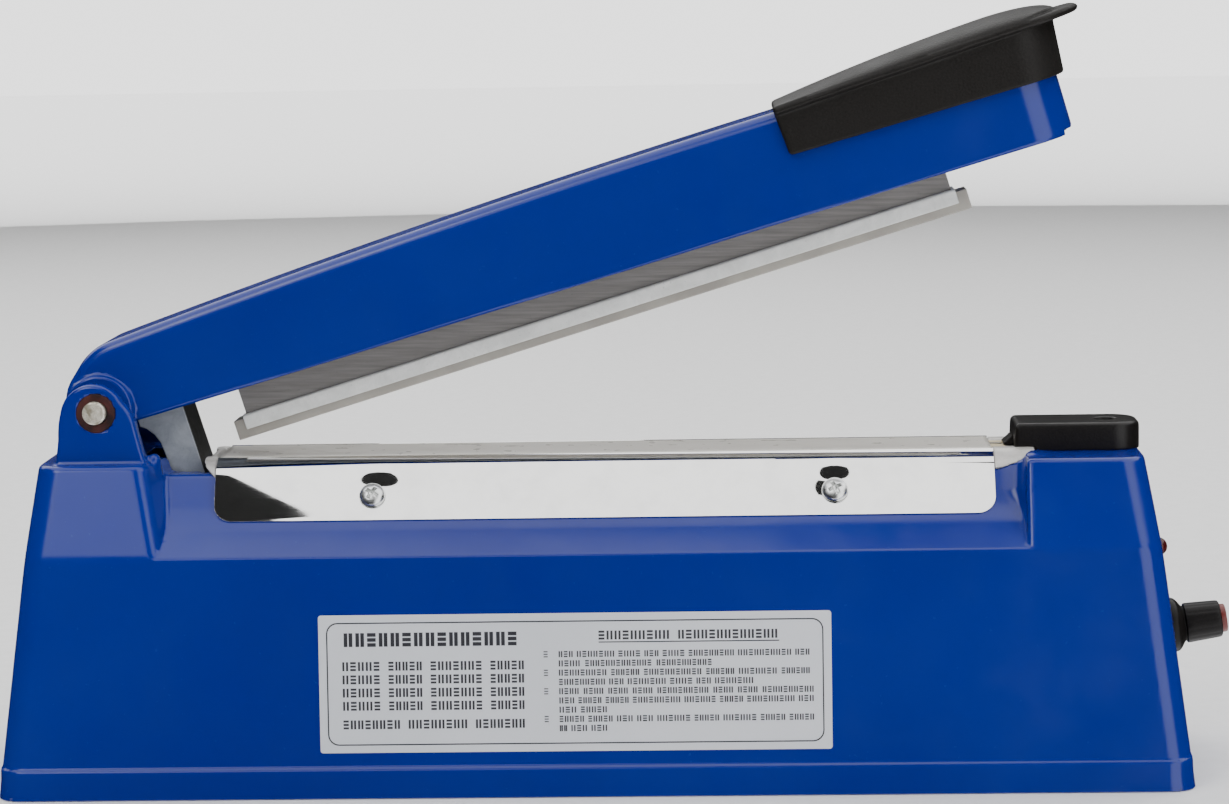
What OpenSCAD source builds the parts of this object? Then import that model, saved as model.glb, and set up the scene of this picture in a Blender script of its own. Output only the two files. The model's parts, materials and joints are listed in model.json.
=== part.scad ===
// Bench impulse heat sealer: plastic base with a bed and heating ribbon, and a hinged press arm.
// Millimetres. X runs along the machine, Y to the rear, Z up.
// Origin: centre of the base's flat underside. The arm is stored open, against its stop.

/* [Base] */
// Length of the base at its foot
base_l = 320; // [300:1:340]
// Width of the base at its foot
base_w = 80; // [76:1:90]
// Height of the moulded skirt round the foot
skirt_h = 8.4; // [5:0.2:12]
// Height of the shoulder crease
shoulder_z = 65; // [60:0.5:66]
// Length of the base at the shoulder
shoulder_l = 304.4; // [296:0.2:312]
// Width of the base at the shoulder
shoulder_w = 72; // [70:0.5:76]
// Plan radius of the base's corners
corner_r = 7; // [5:0.5:9]
// Wall thickness of the mouldings
wall = 2.5; // [2:0.1:3]
// Height of the hinge pedestal's top
left_top_z = 89; // [88:0.2:90]
// Height of the front pedestal's top
right_top_z = 87.6; // [87:0.2:88]

/* [Hinge] */
// Distance of the hinge pin from the middle of the base
pivot_x = -133; // [-134:0.2:-132]
// Height of the hinge pin
pivot_z = 103; // [102.8:0.1:103.4]
// Radius of the hinge pin
pin_r = 3.1; // [2.6:0.1:3.3]
// Angle of the arm when open, above the closed position
open_angle = 16.85; // [16:0.05:17.5]

/* [Bed] */
// Height of the sealing surface
seal_z = 89; // [88.9:0.1:89.2]
// Left end of the bed
bed_x0 = -105.3; // [-105.6:0.1:-105]
// Right end of the bed
bed_x1 = 119.9; // [118:0.1:120]
// Half width of the bed
bed_hw = 12; // [11:0.5:12]
// Left end of the clamp plates
plate_x0 = -101.5; // [-102:0.5:-98]
// Right end of the clamp plates
plate_x1 = 108.7; // [104:0.1:109]

/* [Arm] */
// Half width of the arm moulding
arm_hw = 16; // [15:0.5:16]
// Length of the arm from the pin to its free end
arm_l = 273; // [270:0.5:275]
// Left end of the press bar, along the arm
bar_a0 = 34.8; // [34:0.2:40]
// Right end of the press bar, along the arm
bar_a1 = 238.4; // [230:0.2:239]

/* [Knob] */
// Height at which the knob's axis meets the end wall
knob_z = 37.2; // [34:0.5:44]
// Diameter of the knob's skirt
knob_d = 14.9; // [13:0.2:18]

/* [Hidden] */

$fn = 48;
eps = 0.01;
blue = [0.02, 0.13, 0.62];
black = [0.09, 0.08, 0.08];
steel = [0.62, 0.66, 0.70];
chrome = [0.85, 0.86, 0.88];
nickel = [0.75, 0.73, 0.70];
aluminium = [0.80, 0.80, 0.80];

// Lean of the end walls and of the long walls, from vertical
end_lean = atan((base_l - 0.8 - shoulder_l) / 2 / (shoulder_z - skirt_h));
side_lean = atan((base_w - 1 - shoulder_w) / 2 / (shoulder_z - skirt_h));

// Section of the ridge under the clamp plates, on the -Y side, from the shoulder to the top
ridge_top_z = 85;
pocket_z = 82;
plate_fold = [-16.6, 86.6];
plate_foot = [-25.6, 73.3];
plate_t = 0.8;
plate_lean = atan((plate_fold[0] - plate_foot[0]) / (plate_fold[1] - plate_foot[1]));
ridge_foot = plate_foot + (plate_t + 0.05) * [cos(plate_lean), -sin(plate_lean)];
ridge_edge_y = ridge_foot[0] + (ridge_top_z - ridge_foot[1]) * tan(plate_lean);

// Heights of the layers on the bed
bed_top = seal_z - 0.7;
cloth_t = 0.3;

// Levels inside the arm, above the line through the hinge pin
channel_top = 5.7;
channel_t = 1.2;
channel_hw = 10.5;
carrier_base = -14;
bar_bottom = -18.1;
bar_t = 1;
strip_bottom = -20.45;
pin_at = [85, 190];
lever_a = [11.7, 20.6];
lever_end = -49;
hook_at = [16, -45.5];

spring_hook_x = -62;
spring_hook_z = 62;
transformer_x = -20;
transformer_z = 3;

function end_x(z) = base_l / 2 - 0.4 - (z - skirt_h) * tan(end_lean);
function front_y(z) = -(base_w / 2 - 0.5 - (z - skirt_h) * tan(side_lean));
// Where a point of the arm lies when the arm is open: a along it, u above the pin's line
function arm_point(a, u) = [pivot_x + a * cos(open_angle) - u * sin(open_angle),
                            pivot_z + a * sin(open_angle) + u * cos(open_angle)];

// ---------- shared shapes ----------

module rounded_rect(l, w, r) {
    square([l - 2 * r, w], center = true);
    square([l, w - 2 * r], center = true);
    for (x = [-1, 1], y = [-1, 1])
        translate([x * (l / 2 - r), y * (w / 2 - r)]) circle(r);
}

// Block with sloping sides between two rounded rectangles
module frustum(l0, w0, z0, l1, w1, z1, r) {
    hull() {
        translate([0, 0, z0]) linear_extrude(eps) rounded_rect(l0, w0, r, $fn = 32);
        translate([0, 0, z1 - eps]) linear_extrude(eps) rounded_rect(l1, w1, r, $fn = 32);
    }
}

// Plan of a pedestal: x0 is its outer end, which has rounded corners, x1 its inner end
module pedestal_plan(x0, x1, hw, r) {
    s = sign(x1 - x0);
    translate([min(x0 + s * r, x1), -hw]) square([abs(x1 - x0) - r, 2 * hw]);
    translate([min(x0, x0 + s * r), -hw + r]) square([r, 2 * hw - 2 * r]);
    for (y = [-1, 1]) translate([x0 + s * r, y * (hw - r)]) circle(r, $fn = 32);
}

module pedestal(low, high, r) {
    hull() {
        translate([0, 0, low[3]]) linear_extrude(eps) pedestal_plan(low[0], low[1], low[2], r);
        translate([0, 0, high[3] - eps])
            linear_extrude(eps) pedestal_plan(high[0], high[1], high[2], r);
    }
}

// Solid with the given outline in the X-Z plane, from y0 to y1
module side_extrude(y0, y1) {
    translate([0, y1, 0]) rotate([90, 0, 0]) linear_extrude(y1 - y0) children();
}

// Solid with the given outline in the Y-Z plane, from x0 to x1
module cross_extrude(x0, x1) {
    translate([x0, 0, 0]) rotate([90, 0, 90]) linear_extrude(x1 - x0) children();
}

module box(x0, x1, y0, y1, z0, z1) {
    translate([x0, y0, z0]) cube([x1 - x0, y1 - y0, z1 - z0]);
}

// Everything on the arm is drawn along X from the hinge pin, then tilted open
module in_arm() {
    translate([pivot_x, 0, pivot_z]) rotate([0, -open_angle, 0]) children();
}

module on_end_wall(z) {
    translate([end_x(z), 0, z]) rotate([0, 90 - end_lean, 0]) children();
}

// Pan-head screw standing on z = 0 with its shank below
module pan_screw(head_r, head_h, shank_r, shank_l) {
    difference() {
        union() {
            cylinder(h = head_h * 0.45, r = head_r);
            translate([0, 0, head_h * 0.45]) cylinder(h = head_h * 0.55, r1 = head_r, r2 = head_r * 0.62);
        }
        for (turn = [0, 90])
            rotate([0, 0, turn]) box(-head_r * 0.55, head_r * 0.55, -head_r * 0.13, head_r * 0.13,
                                     head_h * 0.45, head_h + 1);
    }
    translate([0, 0, -shank_l]) cylinder(h = shank_l + eps, r = shank_r);
}

module tube(h, ro, ri) {
    difference() {
        cylinder(h = h, r = ro);
        translate([0, 0, -1]) cylinder(h = h + 2, r = ri);
    }
}

module ring(mid_r, wire_r) {
    rotate_extrude() translate([mid_r, 0]) circle(wire_r);
}

// ---------- base ----------

module ridge_outline(foot, edge_y, top_z, low_y, low_z) {
    polygon([[low_y, low_z], foot, [edge_y, top_z], [-edge_y, top_z], [-foot[0], foot[1]],
             [-low_y, low_z]]);
}

ear_x = pivot_x - 0.6;
ear_z = pivot_z - 1.2;
ear_r = 8.85;
ear_y = [18.5, 24];
bush_x = pivot_x + 0.3;
bush_z = pivot_z - 0.1;
bush_r = 5.3;

module ear_outline() {
    translate([ear_x, ear_z]) {
        circle(ear_r);
        polygon([[-8.78, 1], [-10.3, -11.6], [-10.7, -15.4], [14.6, -15.4], [13.7, -12.2],
                 [11.2, -1.6], [9.7, 2.2], [7.2, 5.1], [0, ear_r - 2]]);
    }
}

screw_spots = [for (x = [-151, 151], y = [-32.5, 32.5]) [x, y]];

module base_outer() {
    linear_extrude(skirt_h) rounded_rect(base_l, base_w, corner_r);
    frustum(base_l - 0.8, base_w - 1, skirt_h - eps, shoulder_l, shoulder_w, shoulder_z, corner_r);
    cross_extrude(-118, 122)
        ridge_outline(ridge_foot, ridge_edge_y, ridge_top_z, -shoulder_w / 2, shoulder_z - eps);
    pedestal([-shoulder_l / 2, -114.7, shoulder_w / 2, shoulder_z - eps],
             [-149, -118.6, 28, left_top_z], corner_r);
    for (s = [0, 1]) mirror([0, s, 0]) translate([-118.2, -18.5, 70])
        cylinder(h = left_top_z + 2.6 - 70, r = 1.8);
    pedestal([shoulder_l / 2, 116, shoulder_w / 2, shoulder_z - eps],
             [148.4, 116.4, 25, right_top_z], corner_r);
}

module base_hollow() {
    r = corner_r - wall;
    frustum(base_l - 2 * wall, base_w - 2 * wall, -1,
            shoulder_l + 0.4 - 2 * wall, shoulder_w + 0.2 - 2 * wall, shoulder_z - wall, r);
    cross_extrude(-113, 116)
        ridge_outline([-23.2, 71], -17.4, pocket_z - wall, -33.5, shoulder_z - wall - 1);
    pedestal([-shoulder_l / 2 + wall + 0.6, -117.6, shoulder_w / 2 - wall, shoulder_z - wall - 1],
             [-149 + wall, -121.5, 28 - wall, left_top_z - wall], r);
    pedestal([shoulder_l / 2 - wall - 0.6, 119, shoulder_w / 2 - wall, shoulder_z - wall - 1],
             [148.4 - wall, 123, 25 - wall, right_top_z - wall], r);
}

module base_housing() {
    color(blue) difference() {
        union() {
            difference() {
                base_outer();
                base_hollow();
            }
            for (s = [0, 1]) mirror([0, s, 0]) side_extrude(ear_y[0], ear_y[1]) ear_outline();
            for (p = screw_spots) translate([p[0], p[1], 1.5]) cylinder(h = 22, r = 5);
        }
        // seat of the bed, and the slot that the lever swings in
        box(-106.3, bed_x1 + 0.4, -bed_hw - 0.5, bed_hw + 0.5, pocket_z, 95);
        box(-123.2, -103.3, -10.5, 10.5, 58, 95);
        // hinge
        translate([bush_x, 0, bush_z]) rotate([90, 0, 0]) cylinder(h = 60, r = bush_r, center = true);
        // screws, leads and fittings
        for (p = screw_spots) translate([p[0], p[1], 1]) cylinder(h = 14, r = 1.4);
        for (s = [0, 1], x = [-58.8, 65.8]) mirror([0, s, 0]) plate_screw_place(x)
            translate([0, 0, -9]) cylinder(h = 12, r = 1.5);
        for (x = [-60, 60]) translate([x, 0, 70]) cylinder(h = 20, r = 2);
        for (x = ribbon_x) box(x - 2, x + 2, -3, 3, 70, 95);
        translate([140, 0, 75]) cylinder(h = 20, r = 1.6);
        on_end_wall(knob_z) translate([0, 0, -10]) cylinder(h = 20, r = 3.6);
        on_end_wall(lens_z) translate([0, 0, -10]) cylinder(h = 20, r = 1.95);
        gland_place() translate([0, 0, -10]) cylinder(h = 20, r = 5.5);
    }
}

foot_r = 7;
foot_spots = [for (x = [-132, 132], y = [-24, 24]) [x, y]];

module bottom_plate() {
    color(black) difference() {
        linear_extrude(1.5) rounded_rect(base_l - 2 * wall - 0.8, base_w - 2 * wall - 0.8, 4);
        for (p = screw_spots) translate([p[0], p[1], -1]) cylinder(h = 4, r = 1.4);
        for (p = screw_spots) translate([p[0], p[1], -1]) cylinder(h = 1.8, r = 2.7);
        for (p = foot_spots) translate([p[0], p[1], -1]) cylinder(h = 4, r = foot_r);
    }
}

module bottom_screws() {
    color(nickel) for (p = screw_spots) translate([p[0], p[1], 0.8]) rotate([180, 0, 0])
        pan_screw(2.6, 0.7, 1.4, 12);
}

// Rubber plugs, flush with the underside and flanged above the plate
module rubber_feet() {
    color(black) for (p = foot_spots) translate([p[0], p[1], 0]) {
        cylinder(h = 1.5, r = foot_r);
        translate([0, 0, 1.5]) cylinder(h = 1, r = foot_r + 1.5);
    }
}

gland_x = 118;
gland_z = 22;

module gland_place() {
    translate([gland_x, -front_y(gland_z), gland_z]) rotate([-90 + side_lean, 0, 0]) children();
}

module cord_gland() {
    color(black) gland_place() difference() {
        union() {
            translate([0, 0, -5]) cylinder(h = 5 + eps, r = 5.5);
            cylinder(h = 2.2, r = 7.5);
        }
        translate([0, 0, -6]) cylinder(h = 12, r = 3.4);
    }
}

// ---------- hinge ----------

module hinge_bushes() {
    color([0.33, 0.08, 0.06]) for (s = [0, 1]) mirror([0, s, 0]) difference() {
        side_extrude(ear_y[0], ear_y[1] - 0.4) translate([bush_x, bush_z]) circle(bush_r);
        side_extrude(0, 30) translate([pivot_x, pivot_z]) circle(pin_r);
    }
}

module hinge_pin() {
    color(nickel) translate([pivot_x, 0, pivot_z]) rotate([90, 0, 0]) {
        translate([0, 0, -27]) cylinder(h = 51.6, r = pin_r);
        translate([0, 0, 24.6]) cylinder(h = 0.9, r1 = pin_r, r2 = 1.7);
    }
}

module pin_clip() {
    color(steel) translate([pivot_x, 25.2, pivot_z]) rotate([90, 0, 0])
        difference() {
            cylinder(h = 1, r = 4.6);
            translate([0, 0, -1]) cylinder(h = 3, r = pin_r);
            box(-1.4, 1.4, 0, 6, -1, 3);
        }
}

// ---------- bed ----------

ribbon_x = [-96.5, 111.5];
leg_w = 0.8;

module bed() {
    color(aluminium) difference() {
        side_extrude(-bed_hw, bed_hw)
            polygon([[bed_x0, bed_top], [bed_x0, 85.5], [-101.5, pocket_z], [109.4, pocket_z],
                     [114, 83.6], [117.5, 86], [bed_x1, bed_top - 0.8], [bed_x1, bed_top]]);
        for (x = ribbon_x) box(x - leg_w, x + leg_w, -1.6, 1.6, 80, 90);
        for (x = [-60, 60]) translate([x, 0, 80]) cylinder(h = 6, r = 2);
    }
}

module bed_screws() {
    color(steel) for (p = [[-60, 1.5], [60, 0]])
        translate([p[0], 0, pocket_z - wall - p[1]]) rotate([180, 0, 0])
            pan_screw(3.8, 2, 2, 5.5 + p[1]);
}

module insulation_strip() {
    color([0.75, 0.68, 0.5]) difference() {
        box(-101, 112.5, -6, 6, bed_top, bed_top + 0.2);
        for (x = ribbon_x) box(x - leg_w, x + leg_w, -1.6, 1.6, 85, 90);
    }
}

module heating_element() {
    z0 = bed_top + 0.2;
    color(steel) {
        box(ribbon_x[0] - 0.1, ribbon_x[1] + 0.1, -1, 1, z0, z0 + 0.15);
        for (x = ribbon_x) box(x - 0.1, x + 0.1, -1, 1, 71, z0 + 0.15);
    }
}

module ptfe_cloth() {
    y = bed_hw + cloth_t;
    color([0.82, 0.80, 0.74]) cross_extrude(plate_x0, plate_x1)
        polygon([[-y, 83], [-y, seal_z - 0.2], [-y + 0.2, seal_z], [y - 0.2, seal_z],
                 [y, seal_z - 0.2], [y, 83], [bed_hw, 83], [bed_hw, seal_z - cloth_t],
                 [-bed_hw, seal_z - cloth_t], [-bed_hw, 83]]);
}

module electrode_insulators() {
    color([0.35, 0.18, 0.1]) for (x = ribbon_x) difference() {
        box(x - 4, x + 4, -8, 8, 77, pocket_z - wall);
        box(x - leg_w, x + leg_w, -1.6, 1.6, 76, 80);
    }
}

module electrode_blocks() {
    color([0.85, 0.68, 0.3]) for (x = ribbon_x) difference() {
        box(x - 3.5, x + 3.5, -5, 5, 69, 77);
        box(x - 0.1, x + 0.1, -1, 1, 71, 78);
    }
}

module plate_section() {
    in = plate_t * [cos(plate_lean), -sin(plate_lean)];
    polygon([[-12.9, seal_z - 0.1], plate_fold, plate_foot, plate_foot + in,
             plate_fold + [0.55, -0.62], [-12.46, seal_z - 0.8]]);
}

module plate_screw_place(x) {
    z = 79.3;
    y = plate_foot[0] + (z - plate_foot[1]) * tan(plate_lean);
    translate([x, y, z]) rotate([90 - plate_lean, 0, 0]) children();
}

module clamp_plate() {
    color(chrome) difference() {
        cross_extrude(plate_x0, plate_x1) plate_section();
        for (x = [-58.8, 65.8])
            plate_screw_place(x) translate([0, 0, -3]) cylinder(h = 6, r = 1.5);
    }
}

module front_plate() clamp_plate();

module rear_plate() mirror([0, 1, 0]) clamp_plate();

module plate_screws() {
    color(nickel) for (s = [0, 1], x = [-58.8, 65.8])
        mirror([0, s, 0]) plate_screw_place(x) pan_screw(3.6, 2.3, 1.5, 6);
}

cap_x = [114.5, 149.4];
cap_top = 95.1;
cap_hw = 10.2;

module end_cap() {
    color(black) difference() {
        union() {
            box(cap_x[0], cap_x[1] - 8, -cap_hw, cap_hw, right_top_z, cap_top);
            translate([cap_x[1] - 14, 0, right_top_z]) linear_extrude(cap_top - right_top_z)
                rounded_rect(28, 2 * cap_hw, 8);
            side_extrude(-4, 4) polygon([[cap_x[0] + 0.5, bed_top], [112.2, bed_top],
                                         [112.2, seal_z + 0.2], [cap_x[0] + 0.5, 91.6]]);
        }
        box(cap_x[0] - 3, bed_x1 + 0.4, -bed_hw, bed_hw, 80, bed_top + 0.4);
        translate([140, 0, 80]) cylinder(h = 20, r = 1.6);
        translate([140, 0, 90.5]) cylinder(h = 10, r = 2.8);
    }
}

module end_cap_screw() {
    color(steel) translate([140, 0, 90.5]) pan_screw(2.6, 2, 1.6, 8);
}

label_c = [-4.2, 31];
label_l = 136.6;
label_h = 37;

module label_plate() {
    color([0.78, 0.78, 0.8]) translate([label_c[0], front_y(label_c[1]), label_c[1]])
        rotate([90 - side_lean, 0, 0]) linear_extrude(0.3) rounded_rect(label_l, label_h, 0.8);
}

// ---------- inside the base ----------

module transformer_place() {
    translate([transformer_x, 0, transformer_z]) children();
}

module transformer_core() {
    color([0.3, 0.3, 0.32]) transformer_place() difference() {
        box(-28.5, 28.5, -15, 15, 0, 47.5);
        for (s = [-1, 1]) translate([s * 14.25, 0, 23.75]) cube([9.5, 40, 28.5], center = true);
    }
}

module transformer_bobbin() {
    color([0.85, 0.8, 0.65]) transformer_place() for (z = [9.6, 36.9]) difference() {
        box(-18.8, 18.8, -25, 25, z, z + 1);
        box(-9.5, 9.5, -15, 15, z - 1, z + 2);
    }
}

module transformer_coil() {
    color([0.75, 0.35, 0.1]) transformer_place() difference() {
        translate([0, 0, 10.6]) linear_extrude(26.3) rounded_rect(36.8, 47, 5);
        box(-9.5, 9.5, -15, 15, 5, 45);
    }
}

module transformer_bracket() {
    color(steel) transformer_place() difference() {
        union() {
            box(-30, 30, -9, 9, 47.5, 49);
            for (s = [0, 1]) mirror([s, 0, 0]) {
                box(28.5, 30, -9, 9, -1.5, 49);
                box(28.5, 42, -9, 9, -1.5, 0);
            }
        }
        for (x = [-36, 36]) translate([x, 0, -3]) cylinder(h = 5, r = 2);
    }
}

module transformer_screws() {
    color(nickel) transformer_place() for (x = [-36, 36]) translate([x, 0, 0])
        pan_screw(3.6, 2.2, 2, 1.5);
}

board_x = [58, 118];
board_hw = 24;
board_z = 10;
board_spots = [for (x = [62, 114], y = [-20, 20]) [x, y]];

module timer_board() {
    color([0.1, 0.4, 0.2]) difference() {
        box(board_x[0], board_x[1], -board_hw, board_hw, board_z, board_z + 1.6);
        for (p = board_spots) translate([p[0], p[1], board_z - 1]) cylinder(h = 4, r = 1.5);
    }
}

module board_standoffs() {
    color([0.9, 0.9, 0.85]) for (p = board_spots) translate([p[0], p[1], 1.5])
        tube(board_z - 1.5, 3, 1.5);
}

module board_screws() {
    color(nickel) for (p = board_spots) translate([p[0], p[1], board_z + 1.6])
        pan_screw(2.8, 1.8, 1.5, 7);
}

module relay() color([0.1, 0.25, 0.6]) box(70, 89, -18, -3, board_z + 1.6, board_z + 17);

module capacitor() color([0.15, 0.15, 0.2]) translate([98, -11, board_z + 1.6]) cylinder(h = 14, r = 5);

module timer_chip() color(black) box(94, 104, 4, 10.4, board_z + 1.6, board_z + 5.2);

module terminal_block() {
    color([0.2, 0.5, 0.25]) difference() {
        box(70, 90, 8, 17, board_z + 1.6, board_z + 12);
        for (x = [72.5, 77.5, 82.5, 87.5]) translate([x, 12.5, board_z + 5]) cylinder(h = 10, r = 1.6);
    }
}

module potentiometer() {
    color(steel) on_end_wall(knob_z) difference() {
        union() {
            translate([0, 0, -wall - 9]) cylinder(h = 8, r = 8);
            translate([0, 0, -wall - 1.1]) cylinder(h = wall + 5.1, r = 3.5);
        }
        translate([0, 0, -wall - 7]) cylinder(h = 20, r = 3.06);
    }
}

module pot_nut() {
    color(nickel) on_end_wall(knob_z) difference() {
        cylinder(h = 1.9, r = 5.6, $fn = 6);
        translate([0, 0, -1]) cylinder(h = 4, r = 3.5);
    }
}

lens_z = 59.2;

module indicator_lens() {
    color([0.45, 0.03, 0.03]) on_end_wall(lens_z) difference() {
        union() {
            translate([0, 0, -6]) cylinder(h = 7.5, r = 1.95);
            translate([0, 0, 1.5]) sphere(r = 1.95);
        }
        translate([0, 0, -7]) cylinder(h = 5.5, r = 1.4);
    }
}

module indicator_lamp() {
    color([0.9, 0.5, 0.3]) on_end_wall(lens_z) {
        translate([0, 0, -10]) cylinder(h = 7.2, r = 1.3);
        translate([0, 0, -2.8]) sphere(r = 1.2);
    }
}

switch_x = [-140.2, -124.2];
switch_z = [52, 80];
plunger_z = 66;
switch_hw = 5.15;

module micro_switch() {
    color(black) difference() {
        box(switch_x[0], switch_x[1], -switch_hw, switch_hw, switch_z[0], switch_z[1]);
        translate([switch_x[1] - 5, 0, plunger_z]) rotate([0, 90, 0]) cylinder(h = 8, r = 1.56);
        for (z = [55, 77]) translate([-137, 0, z]) rotate([90, 0, 0])
            cylinder(h = 20, r = 1.5, center = true);
    }
}

module switch_bracket() {
    color(steel) difference() {
        union() {
            box(-146, -126, -8, 8, 85, left_top_z - wall);
            box(switch_x[0], -126, switch_hw, switch_hw + 1.5, switch_z[0], 86);
        }
        for (z = [55, 77]) translate([-137, 0, z]) rotate([90, 0, 0])
            cylinder(h = 20, r = 1.5, center = true);
    }
}

module switch_screws() {
    color(nickel) for (z = [55, 77]) translate([-137, -switch_hw, z]) rotate([90, 0, 0])
        pan_screw(2.7, 1.8, 1.5, 14);
}

module switch_plunger() {
    color([0.75, 0.1, 0.1]) translate([switch_x[1] - 3.2, 0, plunger_z]) rotate([0, 90, 0])
        cylinder(h = 7, r = 1.5);
}

module spring_bracket() {
    top = pocket_z - wall;
    color(steel) difference() {
        union() {
            box(-66, -54, -7, 7, top - 1.5, top);
            for (s = [0, 1]) mirror([0, s, 0]) box(-66, -58, 5.5, 7, spring_hook_z - 3, top);
            translate([spring_hook_x, 0, spring_hook_z]) rotate([90, 0, 0])
                cylinder(h = 13, r = 1.2, center = true);
        }
        translate([-60, 0, top - 3]) cylinder(h = 5, r = 2);
    }
}

module return_spring() {
    a = arm_point(hook_at[0], hook_at[1]);
    dx = spring_hook_x - a[0];
    dz = spring_hook_z - a[1];
    length = sqrt(dx * dx + dz * dz);
    color(steel) translate([a[0], 0, a[1]]) rotate([0, 90 - atan2(dz, dx), 0]) {
        for (z = [0, length]) translate([0, 0, z]) rotate([90, 0, 0]) ring(2.4, 0.6);
        translate([0, 0, 2.6]) tube(length - 5.2, 4, 2.6);
        for (z = [2.6, length - 3.4]) translate([0, 0, z]) cylinder(h = 0.8, r = 3.4);
    }
}

// ---------- arm ----------

// Outline of the arm from the side: round end at the pin, ramp, then a long low crown
end_r = 9.6;
arm_top = [[-7.5, 6], [-4.7, 10.4], [-1, 13.6], [3.6, 16], [8.6, 17.1], [50, 18.6], [91, 19.8],
           [149, 20.8], [196, 20.8], [272.5, 19]];
arm_foot = [[arm_l, -8.5], [238, -8.7], [140, -7.6], [56, -6.4], [6, -6]];

module arm_outline() {
    circle(end_r);
    polygon(concat(arm_top, arm_foot, [[0, 0]]));
}

function inset(points, by) = [for (p = points) [p[0], p[1] - by]];

boss_r = 9.3;

module arm_shell() {
    bevel = 1.6;
    hollow_hw = arm_hw - wall;
    color(blue) in_arm() difference() {
        union() {
            intersection() {
                union() {
                    side_extrude(-arm_hw + bevel, arm_hw - bevel) arm_outline();
                    side_extrude(-arm_hw, arm_hw) intersection() {
                        arm_outline();
                        polygon(concat(inset(arm_top, bevel), [[arm_l, -30], [-30, -30],
                                       [-30, -20]]));
                    }
                }
                translate([arm_l / 2 - 25, 0, -40]) linear_extrude(80)
                    rounded_rect(arm_l + 50, 2 * arm_hw, 12);
            }
            for (s = [0, 1]) mirror([0, s, 0]) side_extrude(arm_hw - 1, 18.1) circle(boss_r);
        }
        // the channel that the steel frame lies in, open below and at the pin
        side_extrude(-hollow_hw, hollow_hw)
            polygon(concat(inset([for (p = arm_top) if (p[0] > 0) p], wall),
                           [[arm_l - wall, 15], [arm_l - wall, -30], [-2, -30]],
                           [[-7, -10], [-7, 5], [-2, 10.5]]));
        // notch in the end wall for the cap on the bed
        box(arm_l - 10, arm_l + 10, -11, 11, -30, -7.4);
        rotate([90, 0, 0]) cylinder(h = 60, r = pin_r + 0.07, center = true);
        for (a = grip_spots) translate([a, 0, 10]) cylinder(h = 20, r = 1.5);
    }
    color(blue) in_arm() for (a = arm_screw_spots) translate([a, 0, channel_top])
        tube(12, 4, 1.5);
}

arm_screw_spots = [50, 140];
grip_spots = [215, 255];

module arm_frame() {
    color(steel) in_arm() difference() {
        union() {
            box(-6, 246, -channel_hw, channel_hw, channel_top - channel_t, channel_top);
            for (s = [0, 1]) mirror([0, s, 0])
                box(-6, 246, channel_hw - channel_t, channel_hw, -4, channel_top);
        }
        rotate([90, 0, 0]) cylinder(h = 60, r = pin_r + 0.07, center = true);
        for (a = arm_screw_spots) translate([a, 0, 0]) cylinder(h = 10, r = 1.5);
        for (a = pin_at) translate([a, 0, 0]) cylinder(h = 10, r = 1.56);
    }
}

// Steel leg that reaches through the slot in the base, with a bar for the return spring
module lever_leg() {
    hw = channel_hw - channel_t - 0.1;
    t = 1.5;
    top = channel_top - channel_t;
    color(steel) in_arm() {
        box(lever_a[1] - t, lever_a[1], -hw, hw, -40, top);
        box(lever_a[0], lever_a[0] + t, -hw, hw, -41, -33);
        for (s = [0, 1]) mirror([0, s, 0]) side_extrude(hw - t, hw)
            polygon([[lever_a[1], top], [lever_a[1], lever_end], [lever_a[0], lever_end],
                     [lever_a[0], -15], [10.4, -11.4], [7.5, -8.6], [7.5, top]]);
        translate([hook_at[0], 0, hook_at[1]]) rotate([90, 0, 0])
            cylinder(h = 2 * hw - 1, r = 1.2, center = true);
    }
}

module arm_screws() {
    color(nickel) in_arm() for (a = arm_screw_spots)
        translate([a, 0, channel_top - channel_t]) rotate([180, 0, 0]) pan_screw(3.1, 1.8, 1.5, 9);
}

grip_a = [198, 276];
grip_foot = 8.2;

module grip_outline(top) {
    polygon(concat([[grip_a[0] + 0.8, grip_foot], [grip_a[1] - 0.6, grip_foot - 0.3],
                    [grip_a[1], 21]], top, [[grip_a[0], 20.8]]));
}

module grip() {
    crown = [[283.5, 22.2], [284, 23.6], [278, 24.6], [272.8, 26.8], [264.7, 27.9],
             [253, 27.6], [236, 26.4], [221, 25.2], [207, 23.9], [grip_a[0], 23.2]];
    flange = [[283.5, 22.2], [284, 23.6], [grip_a[1], 23.8], [grip_a[0], 22.8]];
    color(black) in_arm() difference() {
        intersection() {
            union() {
                side_extrude(-18.2, 18.2) grip_outline([[grip_a[1], 22.4]]);
                side_extrude(-20, 20) polygon(concat([[grip_a[0], 20.2], [grip_a[1], 20.8]], flange));
                side_extrude(-16, 16) grip_outline(crown);
            }
            translate([229, 0, -40]) linear_extrude(90) rounded_rect(110, 40, 13);
        }
        // the arm's end fits inside
        intersection() {
            side_extrude(-arm_hw, arm_hw) polygon([[180, -20], [180, 20.8],
                [196, 20.8], [272.5, 19], [arm_l, -8.5], [arm_l, -20]]);
            translate([arm_l / 2 - 25, 0, -40]) linear_extrude(80)
                rounded_rect(arm_l + 50, 2 * arm_hw, 12);
        }
        for (a = grip_spots) translate([a, 0, 10]) cylinder(h = 14, r = 1.5);
    }
}

module grip_screws() {
    color(nickel) in_arm() for (a = grip_spots) translate([a, 0, grip_screw_u(a)])
        rotate([180, 0, 0]) pan_screw(3, 1.8, 1.5, 6);
}

// Underside of the arm's crown where a grip screw's head bears
function grip_screw_u(a) = 20.8 - wall - (a - 196) * (20.8 - 19) / 76.5 - 0.15;

module bar_springs() {
    color(steel) in_arm() for (a = pin_at) translate([a, 0, carrier_base + 3])
        tube(channel_top - channel_t - carrier_base - 3, 2.9, 2.1);
}

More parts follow.
